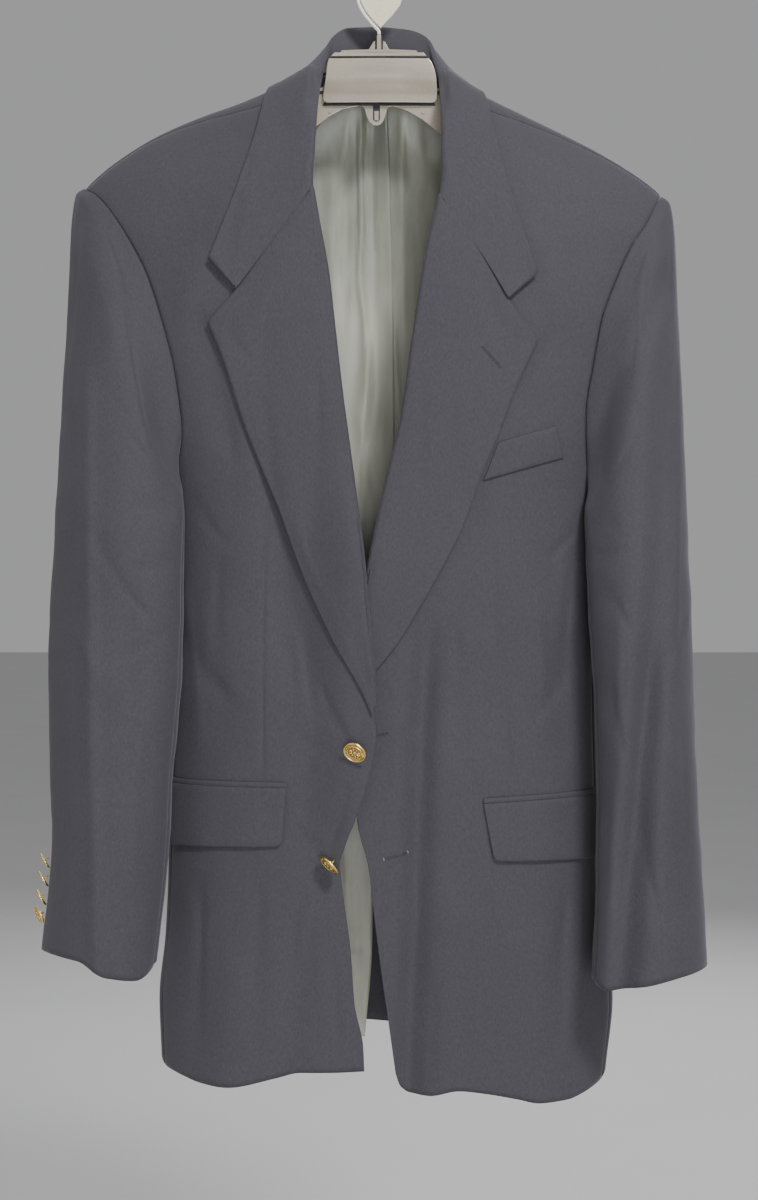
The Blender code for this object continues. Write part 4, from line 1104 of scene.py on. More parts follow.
@dataclass
class Sleeve:
    """A sleeve of a top and an under piece, from the armhole to the cuff."""

    side: Side
    size: tuple[int, int] = (80, 164)
    back_seam: dict[int, float] = both(-14.0, -52.0)
    front_seam: float = 168.0
    seam_turn: float = 0.55
    head_gap: float = 0.8
    stand: float = 0.6
    wide: float = 150.0
    station: float = 72.0
    rails: dict[int, Rows] = both(
        (
            (250, -8, -196, 181.5, -8, -459, 44, 40, 15), (257, -8, -200, 178, -26, -460, 44, 40, 12),
            (261, -12, -226, 171.5, -45, -467, 43, 40, 8), (263, -20, -300, 165.5, -55, -485, 42, 40, 4),
            (266, -32, -390, 163.5, -59, -512, 42, 40, 1), (270, -44, -500, 162.5, -65, -555, 42, 42, 0),
            (273, -52, -585, 163, -68, -610, 42, 40, 0), (271, -60, -665, 169, -72, -678, 42, 38, 0),
            (268, -66, -750, 173, -76, -756, 41, 36, 0), (276, -68, -838, 182, -80, -846, 40, 34, 0),
        ),
        (
            (240, -8, -203, 189.5, -8, -475, 44, 40, 15), (247, -8, -208, 186, -26, -476, 44, 40, 12),
            (251, -12, -236, 180, -45, -482, 44, 40, 8), (253, -20, -310, 175.5, -55, -498, 44, 42, 4),
            (255, -32, -400, 173.5, -60, -522, 45, 44, 1), (257, -44, -500, 174, -67, -562, 46, 46, 0),
            (259, -52, -585, 177, -70, -614, 46, 46, 0), (260, -60, -665, 179, -74, -684, 45, 44, 0),
            (264, -66, -760, 178, -78, -772, 43, 40, 0), (268, -70, -848, 174, -84, -862, 41, 36, 0),
        ),
    )
    cuffs: dict[int, Rows] = both(
        ((-20, 4), (40, 6), (75, 5), (105, -6), (135, -8), (175, 4), (250, 9), (340, 5)),
        ((-20, 7), (20, 3), (60, 3), (100, 1), (140, -1), (175, 7), (250, 10), (340, 7)),
    )
    drape: Rows = ((0, 0, 0), (0.4, 9, 11), (1, 14, 16), (2, 10, 6), (3, 5, 2), (4, 2.5, 0.5), (5, 1, 0),
                   (10, 0, 0))
    drape_turn: float = 166.0
    drape_half: float = 24.0
    large: dict[int, Rows] = both(
        ((-243, -306, -230, -680, 7, -3.4), (-205, -520, -196, -640, 16, 3.0)),
        ((243, -320, 222, -560, 12, 6.5), (221, -560, 201, -760, 11, 7.0),
         (246, -262, 230, -300, 10, 4.5)),
    )
    fine: dict[int, Rows] = both(
        (
            (6, 70, 26, 250, 6, 1.2, 3, 0.3), (24, 110, 22, 380, 4, -0.8, 2, 0.3),
            (34, 60, 96, 190, 8, 1.3, 6, 0.2), (60, 130, 30, 300, 10, -1.1, 5, 0.2),
            (112, 150, 70, 230, 7, 1.4, 4, 0.3), (118, 210, 84, 300, 6, 1.1, -4, 0.3),
            (92, 250, 60, 330, 8, 1.1, 4, 0.3), (116, 300, 76, 350, 6, 1.4, 3, 0.4),
            (50, 330, 104, 392, 8, 1.3, -4, 0.3), (112, 380, 66, 432, 7, 1.2, 4, 0.3),
            (40, 410, 70, 470, 9, -0.9, 4, 0.2), (62, 440, 58, 600, 12, 1.2, 4, 0.2),
            (96, 450, 92, 620, 9, -1.1, -4, 0.2), (32, 470, 30, 630, 8, 0.9, 3, 0.2),
            (150, 210, 200, 330, 9, 1.2, 5, 0.2), (170, 320, 222, 380, 8, -1.0, 4, 0.2),
            (190, 400, 180, 600, 11, 1.4, 4, 0.2), (230, 240, 214, 460, 12, 1.2, -6, 0.2),
            (238, 470, 236, 620, 9, -1.1, 4, 0.2),
        ),
        (
            (8, 80, 30, 210, 7, 1.2, -3, 0.3), (30, 70, 62, 180, 8, -1.2, 5, 0.2),
            (20, 230, 34, 330, 6, 1.0, 4, 0.3), (104, 150, 66, 240, 8, 1.5, 4, 0.3),
            (120, 200, 88, 300, 6, 1.2, -4, 0.3), (116, 270, 72, 330, 7, 1.2, 4, 0.3),
            (26, 300, 46, 470, 9, -1.1, 4, 0.2), (112, 330, 82, 400, 7, 1.3, -3, 0.3),
            (84, 350, 96, 500, 8, -1.0, 5, 0.2), (20, 400, 58, 452, 6, 1.1, 4, 0.4),
            (106, 430, 84, 520, 7, 1.2, 3, 0.3), (40, 470, 44, 620, 10, 1.0, -3, 0.2),
            (78, 520, 60, 620, 8, 1.4, 4, 0.3), (100, 500, 104, 630, 9, -1.0, 3, 0.2),
            (146, 230, 204, 320, 9, 1.3, 5, 0.2), (164, 350, 210, 400, 8, -1.0, 4, 0.2),
            (176, 420, 188, 610, 11, 1.3, -4, 0.2), (216, 210, 222, 430, 12, 1.2, 6, 0.2),
            (212, 470, 214, 620, 9, -1.0, 4, 0.2),
        ),
    )

    def __post_init__(self) -> None:
        """Makes the smooth curves of the tables."""
        side = self.side
        self.rail_at = Fair(range(len(self.rails[side])), self.rails[side])
        self.cuff_at = Fair.over(self.cuffs[side])
        self.drape_at = Fair.over(self.drape)
        self.end = len(self.rails[side]) - 1
        self.creases = creases_of(self.fine[side])
        low = (side * TORSO.half_width(side, CUT.underarm[side]), TORSO.middle, CUT.underarm[side])
        holes = ((CUT.armhole_front, False), (CUT.armhole_back, True))
        self.down, self.up = (
            Fair.along([(side * o, TORSO.y(side * o, z, back), z) for o, z in rows[side]] + [low])
            for rows, back in holes
        )

    def loop(self, turn: float) -> Vector:
        """The armhole over 0 to 1, from the shoulder's end over the front."""
        turn %= 1.0
        point = Vector(self.down(2 * turn) if turn <= 0.5 else self.up(2 - 2 * turn))
        out = Vector((self.side * 0.7, -0.9 if turn <= 0.5 else 0.9, 0.0))
        mix = 1 - abs(4 * turn - 1 - (2 if turn > 0.5 else 0))
        aim = Vector((self.side, 0, 0.6)).lerp(out, ease(mix * 1.6)).normalized()
        return point + aim * (self.head_gap + self.stand * ease(min(turn, 1 - turn) / 0.1))

    def section(self, at: float, degrees: float) -> tuple[Vector, Vector]:
        """A point of the sleeve's section and the direction off it.

        Args:
            at: A row of the rails' table, with fractions between rows.
            degrees: The turn from the outer rail over the front.

        Returns:
            The point in millimetres and the direction.
        """
        c = self.rail_at(at)
        outer = Vector((self.side * c[0], c[1], c[2]))
        inner = Vector((self.side * c[3], c[4], c[5]))
        cosine, sine = math.cos(math.radians(degrees)), math.sin(math.radians(degrees))
        half = (outer - inner) / 2
        reach = c[6] if sine > 0 else c[7]
        bow = Vector((-self.side * abs(half.z), 0, -abs(half.x))).normalized() * c[8]
        point = (outer + inner) / 2 + half * cosine + Vector((0, -reach, 0)) * sine + bow * sine**2
        return point, (half * cosine / half.length_squared + Vector((0, -sine / reach, 0))).normalized()

    def point(self, at: float, degrees: float, off: float = 0.0, smooth: float = 1.0) -> Vector:
        """A place on the cloth, moved out from it.

        Args:
            at: A row of the rails' table.
            degrees: The turn round the sleeve.
            off: How far it is moved out.
            smooth: How much of the small creases is followed.

        Returns:
            The point in millimetres.
        """
        point, out = self.section(at, degrees)
        start = self.loop(degrees / 360) - self.section(0, degrees)[0]
        point = point + start * max(0.0, 1 - at / (2.8 + 1.2 * math.cos(math.radians(degrees)))) ** 2
        over = bell(degrees % 360 - self.drape_turn, self.drape_half)
        inward, forward = self.drape_at(at)
        point += Vector((-self.side * inward, -forward, 0)) * over
        turned = degrees if degrees <= 340 else degrees - 360
        point.z += self.cuff_at.one(turned) * ease((at - self.end + 1.6) / 1.6)
        if 0 < degrees < 180:
            point.y += fold_depth(self.large[self.side], point.x, point.z) * math.sin(math.radians(degrees))
        if smooth:
            fade = ease(at / 0.8)
            a, b = (degrees % 360) * 0.75, at * self.station
            uneven = creased(self.creases, a, b) + rumple(point, 34, 0.8) + rumple(point, 14, 0.22)
            off -= smooth * fade * uneven
        return point + out * off

    def build(self, finishes: Finishes) -> None:
        """Makes the two pieces."""
        spans = {"top": (self.back_seam[self.side], self.front_seam),
                 "under": (self.front_seam, 360 + self.back_seam[self.side])}
        cuts = {
            Side.LEFT: {"top": ((0.175, 0.67), 0.091), "under": ((0.145, 0.62), 0.074)},
            Side.RIGHT: {"top": ((0.195, 0.67), 0.103), "under": ((0.105, 0.62), 0.051)},
        }[self.side]
        for piece, (first, last) in spans.items():
            ats = [t * self.end for t in even(self.size[1], 1.1)]
            columns = self.size[0] if piece == "top" else round(self.size[0] * 0.8)

            def place(column: int, row: int) -> Vector:
                """A point of the piece, with its seam edges turned in."""
                s, at = column / columns, ats[row]
                degrees = first + self.seam_turn + (last - first - 2 * self.seam_turn) * s
                from_seam = min(s, 1 - s) * self.wide
                turn_in = 0.6 * bell(from_seam, 2.0) + 0.8 * bell(at * self.station, 2.6)
                return self.point(at, degrees, -turn_in)

            name = f"{piece}_sleeve_{self.side.word}"
            flat, area = cuts[piece]
            made = lay(f"{name}_cloth", (columns, self.size[1]), place, WALL, flat)
            dress(made, finishes.wool, "navy_wool", name)


@dataclass
class Roll:
    """The cloth that turns round a front's edge under the lapel and the collar."""

    front: Front
    lift: float = 4.6
    rest: float = 2.9
    gap: float = 1.0

    def edge_x(self, z: float) -> float:
        """Where the front's own cloth ends at a height."""
        side = self.front.side
        return CUT.edge_at[side].one(z) + CUT.tuck(side, z)

    def fade(self, z: float) -> float:
        """How open the roll is: 1 above the break and 0 at it."""
        return ease((z - CUT.break_z[self.front.side]) / 40)

    def at(self, z: float, degrees: float) -> Vector:
        """A point of the roll, from 180 behind the edge to 0 on top of the lapel."""
        x, fade, radius = self.edge_x(z), self.fade(z), self.lift / 2
        angle = math.radians(degrees)
        off = radius * (1 + math.cos(angle)) * fade + (1 - fade) * self.rest
        place = self.front.on(x, z, off, 0.0)
        return place + Vector((-self.front.side * (self.gap + radius * math.sin(angle) * fade), 0, 0))


GORGE: dict[int, Rows] = {-1: ((54, -207), (84, -247), (117, -292)), 1: ((50, -214), (79, -255), (106, -300))}
GORGE_GAP = 0.3
CORNER_SHARE = 0.78


def gorge_of(side: int, step: float) -> Fair:
    """The seam between the collar and a lapel, moved by step in height."""
    return Fair.along([(side * out, z + step) for out, z in GORGE[side]])


@dataclass
class Lapel:
    """The turned facing of a front, from the gorge to the break."""

    roll: Roll
    rolled: int = 12
    columns: int = 50
    rows: int = 150
    wide: float = 70.0
    pitch: float = 2.1
    edges: dict[int, Rows] = both(
        ((141, -319), (127, -353), (113, -397), (99, -433), (82, -474), (63, -526), (38, -580), (12, -626)),
        ((131, -335), (114, -371), (98, -413), (85, -444), (67, -492), (41, -541), (14, -585), (-8, -612)),
    )
    fine: dict[int, Rows] = both(
        (
            (-60, -250, -108, -330, 14, -1.1, 5, 0.2), (-96, -300, -84, -440, 13, 1.0, 5, 0.2),
            (-50, -350, -58, -500, 10, 0.8, -4, 0.2), (-70, -470, -40, -560, 9, -0.9, 3, 0.2),
            (-126, -318, -104, -352, 7, 0.8, 2, 0.3),
        ),
        (
            (64, -260, 104, -340, 13, 1.0, -5, 0.2), (88, -320, 70, -450, 13, -1.1, 5, 0.2),
            (40, -350, 36, -470, 10, 0.9, 4, 0.2), (58, -470, 22, -560, 8, 0.9, -3, 0.2),
            (122, -330, 96, -372, 7, 0.8, -2, 0.3),
        ),
    )

    def __post_init__(self) -> None:
        """Makes the lapel's patch."""
        side = self.roll.front.side
        low = CUT.break_z[side]
        gorge = gorge_of(side, -GORGE_GAP)
        tip = (side * self.edges[side][0][0], self.edges[side][0][1])
        first = GORGE[side][0]
        rolls = [(x, z) for x, z in CUT.front_edge[side] if low + 6 < z < first[1] - 4]
        end = (CUT.edge_at[side].one(low), low)
        inner = Fair.along([(side * first[0], first[1] - GORGE_GAP), *rolls, end])
        outer = Fair.along([(side * o, z) for o, z in self.edges[side]] + [(end[0] + side * 1.2, end[1] - 8)])

        def top(s: float) -> Row:
            """The gorge, then the notch's lower edge."""
            if s <= CORNER_SHARE:
                return gorge(s / CORNER_SHARE)
            return between(gorge(1), tip, (s - CORNER_SHARE) / (1 - CORNER_SHARE))

        def bottom(s: float) -> Row:
            """The short foot at the break."""
            return between(inner(1), outer(1), s)

        self.inner_z = [inner(t)[1] for t in even(self.rows)]
        self.patch = Patch(top, bottom, inner, outer, even(self.columns), even(self.rows))
        self.creases = creases_of(self.fine[side])

    def place(self, column: int, row: int) -> Vector:
        """A point of the lapel: the roll, then the part that lies on the chest."""
        roll, z = self.roll, self.inner_z[row]
        if column < self.rolled:
            return roll.at(z, 180 - 180 * column / self.rolled)
        x, height = self.patch.at(column - self.rolled, row)
        s = self.patch.columns[column - self.rolled]
        side = roll.front.side
        blend = bell(s * self.wide, 3)
        x += (roll.edge_x(z) - side * roll.gap - x) * blend
        off = roll.rest + (roll.lift - roll.rest) * (1 - ease(s * 1.4)) * roll.fade(z)
        flat = Vector((x, -90, height))
        off -= (creased(self.creases, x, height) + rumple(flat, 40, 0.6)) * ease(s / 0.2)
        off += 0.8 * ease(s / 0.2) * ease((1 - s) / 0.25) * roll.fade(z)
        off -= 0.5 * bell(row * self.pitch, 2.0) * ease((CORNER_SHARE + 0.04 - s) / 0.08)
        return roll.front.on(x, height, off, 0.35)

    def build(self, finishes: Finishes) -> None:
        """Makes the lapel."""
        word = self.roll.front.side.word
        size = (self.columns + self.rolled, self.rows)
        made = lay(f"lapel_{word}_facing", size, self.place, WALL, (0.10, 0.44))
        dress(made, finishes.wool, "navy_wool", f"lapel_{word}")


@dataclass
class Collar:
    """The collar's stand and fall in one fold, from one gorge round the neck to the other."""

    rolls: dict[int, Roll]
    necks: dict[int, list[Vector]]
    size: tuple[int, int] = (64, 224)
    foot_inset: float = 2.6
    shoulder_lift: float = 0.5
    bulge: float = 6.0
    last: float = 7.0
    stations: dict[int, tuple[Row, ...]] = both(
        (
            (0, 0, -88, 1, 0, 28, -47, 0, 42, -99), (1, 20, -89, 1, 27, 26, -49, 30, 41, -101),
            (2, 40, -93, 1, 40, 19, -59, 57, 34, -105), (3, 57, -97.5, 1, 46, 4, -80, 77, 16, -110),
            (3.5, 65, -98.5, 1, 48, -6, -93, 84, 4, -113), (4, 65, -110, 0, 49.5, -16, -106, 91, -8, -118),
            (5, 60, -150, 0, 52.5, -42, -151, 102, -36, -160),
            (6, 57, -191, 0, 54, -56, -191, 117, -50, -206),
            (7, 54, -205, 0, 53.7, -58, -205, 140, -64, -267),
        ),
        (
            (0, 0, -88, 1, 0, 28, -47, 0, 42, -99), (1, 20, -89.5, 1, 28, 26, -51, 30, 41, -102),
            (2, 40, -95, 1, 43, 19, -61, 57, 34, -106), (3, 57, -101.3, 1, 48, 4, -82, 74, 16, -112),
            (3.5, 65, -102.5, 1, 50, -6, -95, 80, 4, -115), (4, 65, -114, 0, 51.5, -16, -108, 86, -8, -120),
            (5, 60, -152, 0, 52.5, -42, -154, 95, -36, -156),
            (6, 55, -190, 0, 51.5, -56, -191, 108, -50, -208),
            (7, 50, -212, 0, 50, -58, -212, 130, -64, -280),
        ),
    )
    turns: Rows = (
        (0, 0, -0.6, 0.8, 0, 1, 0.3), (1, 0.2, -0.6, 0.8, 0.1, 0.95, 0.35),
        (2, 0.5, -0.4, 0.8, 0.4, 0.75, 0.5),
        (3, 0.8, -0.35, 0.9, 0.5, 0.35, 0.8), (3.5, 0.9, -0.1, 0.7, 0.45, 0, 0.9),
        (4, 1, 0, 0.2, 0.4, -0.4, 0.85), (5, 1, 0, 0, 0.15, -0.9, 0.35), (7, 1, 0, 0, 0, -1, 0.1),
    )

    def __post_init__(self) -> None:
        """Works out every section once."""
        self.turn_at = Fair.over(self.turns)
        self.at_side = {
            side: Fair.over([
                (at, out, TORSO.y(side * out, z, bool(on_back)), z, *rest)
                for at, out, z, on_back, *rest in rows
            ])
            for side, rows in self.stations.items()
        }
        half = self.size[1] // 2
        self.sections = [
            Fair.along(self.section(-1 if row < half else 1, self.last * abs(row - half) / half))
            for row in range(self.size[1] + 1)
        ]

    def clear(self, point: Vector, off: float) -> Vector:
        """The point, or where it would lie in the body, the place just off the body's cloth."""
        back = point.y > TORSO.middle
        cap = TORSO.back_cap if back else TORSO.front_cap
        foot = TORSO.ridge(point.x) - cap
        if point.z <= foot:
            y = TORSO.y(point.x, point.z, back)
            return Vector((point.x, max(point.y, y + off) if back else min(point.y, y - off), point.z))
        deep = TORSO.depth_at(point.z)[1 if back else 0] - TORSO.middle
        arm = Vector((0, point.y - TORSO.middle, point.z - foot))
        on_cloth = arm / math.hypot(arm.y / deep, arm.z / cap)
        normal = Vector((0, on_cloth.y / deep**2, on_cloth.z / cap**2)).normalized()
        return point + normal * max(0.0, off - (arm - on_cloth).dot(normal))

    def seam(self, side: int, point: Vector) -> Vector:
        """The place of the neck's edge that lies nearest to a point."""
        places = []
        neck = self.necks[side]
        for a, b in zip(neck, neck[1:]):
            along = b - a
            share = min(max((point - a).dot(along) / max(along.length_squared, 1e-9), 0.0), 1.0)
            places.append(a + along * share)
        return min(places, key=lambda place: (place - point).length)

    def section(self, side: int, at: float) -> list[Vector]:
        """The collar's points at one station, from the stand's foot over the roll to its edge."""
        roll = self.rolls[side]
        lie, radius = roll.rest, roll.lift / 2
        out, foot_y, foot_z, *rest = self.at_side[side](at)
        forward = ease(at - 4)
        turned = self.turn_at(at)
        inward = Vector((-side * turned[0], turned[1], turned[2])).normalized()
        across = Vector((side * turned[3], turned[4], turned[5]))
        foot = self.seam(side, Vector((side * out, foot_y, foot_z)))
        foot = foot + inward * (self.foot_inset + (roll.gap - self.foot_inset) * forward)
        top = Vector((side * rest[0], rest[1], rest[2]))
        clear = lie + self.shoulder_lift * ease((at - 2.2) / 0.8) * (1 - ease((at - 4.6) / 1.2))
        edge = self.clear(Vector((side * rest[3], rest[4], rest[5])), clear)
        top.y += (TORSO.y(top.x, top.z) - radius - top.y) * forward
        down = ((foot - top).normalized() * (1 - forward) + (edge - top).normalized()).normalized()
        across = (across - down * across.dot(down)).normalized()
        points = [foot]
        for degrees in (180, 120, 60, 0):
            angle = math.radians(degrees)
            points.append(top + down * radius + (across * math.cos(angle) - down * math.sin(angle)) * radius)
        points.insert(1, foot.lerp(points[1], 0.5))
        at_gorge = ease((at - 5.5) / 1.5)
        if at_gorge:
            start_z = foot_z + (gorge_of(side, GORGE_GAP)(0)[1] - 2.6 - foot_z) * ease((at - 6) / 1.0)
            rolled = [roll.at(start_z, degrees) for degrees in (180, 150, 120, 90, 45, 0)]
            points = [a.lerp(b, at_gorge) for a, b in zip(points, rolled)]
        return points + self.fall(side, at, points[-1], edge, clear)

    def fall(self, side: int, at: float, start: Vector, edge: Vector, clear: float) -> list[Vector]:
        """The section's points from the roll down to the fall's edge."""
        roll = self.rolls[side]
        lie, forward, toward_end = roll.rest, ease(at - 4), ease((at - 5) / 2) ** 1.5
        gorge = gorge_of(side, 0.0)
        points = []
        slope = (edge - start).normalized()
        up = (Vector((0, 0, 1)) - slope * slope.z).normalized()
        full = self.bulge * ease((at - 1.2) / 1.2) * (1 - ease((at - 3.4) / 1.6))
        for share in (0.14, 0.34, 0.56, 0.78, 1.0):
            point = start.lerp(edge, share) + up * full * math.sin(math.pi * share)
            bent = gorge(share / CORNER_SHARE) if share <= CORNER_SHARE else (edge.x, edge.z)
            point.x += (bent[0] - point.x) * toward_end
            point.z += (bent[1] - 1.1 * bell(share, 0.2) - point.z) * toward_end
            lift = lie + (roll.lift - lie) * (1 - ease(share * 1.4))
            if forward > 0 and point.y < TORSO.middle:
                point = point.lerp(roll.front.on(point.x, point.z, lift, 0.3), forward)
            points.append(self.clear(point, clear))
        return points

    def place(self, column: int, row: int) -> Vector:
        """A point of the collar, with a slight unevenness on the fall."""
        share = column / self.size[0]
        section = self.sections[row]
        at = self.last * abs(2 * row / self.size[1] - 1)
        point = Vector(section(share)).lerp(Vector(section.straight(share)), ease((at - 6.2) / 0.5))
        fall = ease((share - 0.45) / 0.2) * ease((1 - share) / 0.08)
        return point + Vector((0, -1, 0.2)) * rumple(point, 26, 0.7) * fall

    def build(self, finishes: Finishes) -> None:
        """Makes the collar."""
        made = lay("collar_cloth", self.size, self.place, WALL, (0.09, 0.62))
        dress(made, finishes.wool, "navy_wool", "collar")


@dataclass
class Laid:
    """A small piece that lies on a front, from its four corners."""

    node: str
    front: Front
    corners: Rows
    size: tuple[int, int]
    flat: Row
    corner: float = 0.0
    free: bool = False
    area: float | None = None
    off: float = 2.3

    def place(self, column: int, row: int) -> Vector:
        """A point of the piece, pillowed a little, with its sewn edges turned in."""
        s, t = column / self.size[0], row / self.size[1]
        top = between(self.corners[0], self.corners[1], s)
        foot = list(between(self.corners[2], self.corners[3], s))
        width, height = math.dist(self.corners[0], self.corners[1]), math.dist(top, foot)
        near = max(0.0, self.corner - s * width)
        if self.corner:
            foot[1] += self.corner - math.sqrt(max(self.corner**2 - near**2, 0.0))
        x, z = between(top, foot, t)
        flat = Vector((x * self.front.side, 7, z))
        ends = min(s * width, (1 - s) * width)
        lift = 0.5 * ease(min(t, 1 - t) * height / 4) * ease(ends / 4)
        sewn = 0.3 * bell(t * height, 1.2)
        if self.free:
            lift += 0.6 * ease(t) + rumple(flat, 24, 0.7) * t
        else:
            sewn += 0.2 * bell((1 - t) * height, 1.2)
        return self.front.on(self.front.side * x, z, self.off + lift - sewn)

    def build(self, finishes: Finishes) -> None:
        """Makes the piece."""
        made = lay(f"{self.node}_cloth", self.size, self.place, WALL, self.flat)
        dress(made, finishes.wool, "navy_wool", self.node)


FLAPS: dict[int, Rows] = {
    -1: ((76, -702), (172.5, -701), (79, -750), (172.5, -752)),
    1: ((85.5, -715), (181.5, -710), (93, -762), (181.5, -763)),
}
JET_LIFTS = (4.5, 0.35)
WELT: Rows = ((97.8, -418.5), (146, -404), (85.6, -449.5), (152, -430))


def pocket_pieces(fronts: dict[int, Front]) -> list[Laid]:
    """The flaps, their jets and the chest welt."""
    pieces = [Laid("chest_welt", fronts[1], WELT, (56, 26), (0.068, 0.032), area=0.0019, off=1.7)]
    for side, corners in FLAPS.items():
        word = Side(side).word
        jet = tuple((out, z + lift) for lift in JET_LIFTS for out, z in corners[:2])
        pieces.append(Laid(f"flap_{word}", fronts[side], corners, (84, 44), (0.102, 0.056), 7.0, True))
        pieces.append(Laid(f"jet_{word}", fronts[side], jet, (84, 8), (0.102, 0.0105), area=0.00048, off=2.0))
    return pieces


@dataclass
class Lining:
    """Half of the back lining. The left half laps over the right one at the pleat."""

    side: Side
    size: tuple[int, int] = (70, 180)
    off: float = 4.2
    least: float = 3.3
    wide: float = 160.0
    top_z: float = -93.0
    pleat_foot: float = -650.0
    hem: dict[int, Row] = both((-934, -915), (-905, -915))
    centre: Rows = ((-90, 4, 6), (-130, 5, 7), (-400, 10, 12), (-560, 8, 10), (-690, 0, 6), (-760, -5, 12),
                    (-850, -6, 14), (-940, -13, 16))
    fine: dict[int, Rows] = both(
        (
            (-15.4, -108, -16, -300, 2.2, -4.0, 0, 0.4), (-16, -262, -11, -400, 4.2, -3.0, -3, 0.3),
            (-27, -112, -30, -330, 5, 2.0, 2, 0.2), (-5, -112, -3, -330, 4, 1.6, 1, 0.2),
            (-40, -130, -36, -300, 6, -1.6, 3, 0.2), (-3, -300, -18, -470, 5, -2.0, 4, 0.3),
            (-24, -380, -6, -540, 6, 1.8, -4, 0.2), (-12, -560, -16, -760, 6, -1.8, 3, 0.2),
            (-30, -600, -34, -860, 8, 1.8, 4, 0.2), (-60, -520, -66, -880, 9, -2.0, 5, 0.2),
            (-90, -450, -96, -840, 10, 1.8, -5, 0.2), (-34, -843, 4, -839, 2.0, 0.9, 1, 0.3),
            (-30, -852, 2, -855, 1.8, -0.8, -1, 0.3), (-36, -862, -2, -859, 1.6, 0.9, 1, 0.3),
            (-28, -871, 0, -874, 2.0, 0.8, 1, 0.3), (-34, -884, -4, -880, 1.8, -0.9, -1, 0.3),
            (-14, -160, 2, -190, 2.4, 0.8, 1, 0.3), (-20, -212, 0, -236, 2.6, -0.9, -1, 0.3),
        ),
        (
            (22, -110, 24, -330, 5, -2.2, 3, 0.3), (34, -118, 38, -360, 6, 2.0, -3, 0.2),
            (14, -290, 26, -450, 4, -1.8, 3, 0.3), (24, -420, 16, -560, 5, 1.6, -3, 0.2),
            (20, -600, 24, -780, 6, -1.8, 3, 0.2), (44, -500, 50, -860, 9, 1.9, 5, 0.2),
            (84, -460, 90, -850, 10, -1.8, -5, 0.2), (12, -846, 34, -850, 2.0, 0.8, 1, 0.3),
            (14, -866, 38, -862, 1.8, -0.8, 1, 0.3), (16, -150, 34, -176, 2.4, 0.8, 1, 0.3),
        ),
    )

    def __post_init__(self) -> None:
        """Makes the edge at the pleat and the creases."""
        self.pleat = Fair.over(self.centre)
        self.creases = creases_of(self.fine[self.side])

    def place(self, column: int, row: int) -> Vector:
        """A point of the lining."""
        side, s, t = self.side, column / self.size[0], row / self.size[1]
        hem_centre, hem_side = self.hem[side]
        top = self.top_z - 250 * max(0.0, s - 0.18) ** 1.2
        z = top + (hem_centre + (hem_side - hem_centre) * s - top) * t
        left, right = self.pleat(z)
        inner = left if side < 0 else right
        if z > self.pleat_foot:
            inner += 3.6 if side < 0 else -1.5
        x = inner + (side * min(TORSO.half_width(side, z) * 0.86, 156) - inner) * s
        off = self.off - creased(self.creases, x, z) + rumple(Vector((x, 30, z)), 30, 0.9)
        if side < 0:
            off += 3.0 * bell(s * self.wide, 9) * ease((z + 700) / 50)
        return Vector((x, TORSO.y(x, z, True), z)) - TORSO.normal(x, z, True) * max(off, self.least)

    def build(self, finishes: Finishes) -> None:
        """Makes the lining."""
        word = self.side.word
        made = lay(f"lining_{word}", self.size, self.place, LINING_WALL, (0.16, 0.84))
        dress(made, finishes.satin, "lining_satin", f"back_lining_{word}")


class Ground:
    """The cloth that lies nearest to the viewer, found by looking at it from the front."""

    def __init__(self, *cloths: bpy.types.Object) -> None:
        """Keeps a search tree of each piece's middle surface.

        Args:
            cloths: The pieces, with nothing on them yet.
        """
        self.trees = []
        for cloth in cloths:
            mesh = bmesh.new()
            mesh.from_mesh(cloth.data)
            self.trees.append(BVHTree.FromBMesh(mesh))
            mesh.free()

    def at(self, x: float, z: float, off: float) -> Vector:
        """The point at x and z that lies off millimetres over the cloth's middle."""
        found = [tree.ray_cast(Vector((x, -400, z)) * MM, Vector((0, 1, 0))) for tree in self.trees]
        place, normal, *_ = min((hit for hit in found if hit[0]), key=lambda hit: hit[0].y)
        return place / MM + (normal if normal.y < 0 else -normal) * off


@dataclass
class Stitches:
    """A run of hand stitches along a path."""

    name: str
    at: Callable[[float, float], Vector]
    length: float
    pitch: float = 3.4
    stitch: float = 2.2
    thick: float = 0.34
    on: float = WALL / 2

    def build(self, finishes: Finishes) -> None:
        """Makes the thread."""
        count = max(1, round(self.length / self.pitch))
        step = self.stitch / self.pitch / count
        runs = []
        for k in range(count):
            start = k / count
            places = ((0.0, -0.25), (0.25, 0.1), (0.75, 0.1), (1.0, -0.25))
            runs.append([self.at(start + step * share, self.on + lift) for share, lift in places])
        dress(thread_line(self.name, runs, self.thick), finishes.navy_thread, "navy_wool")


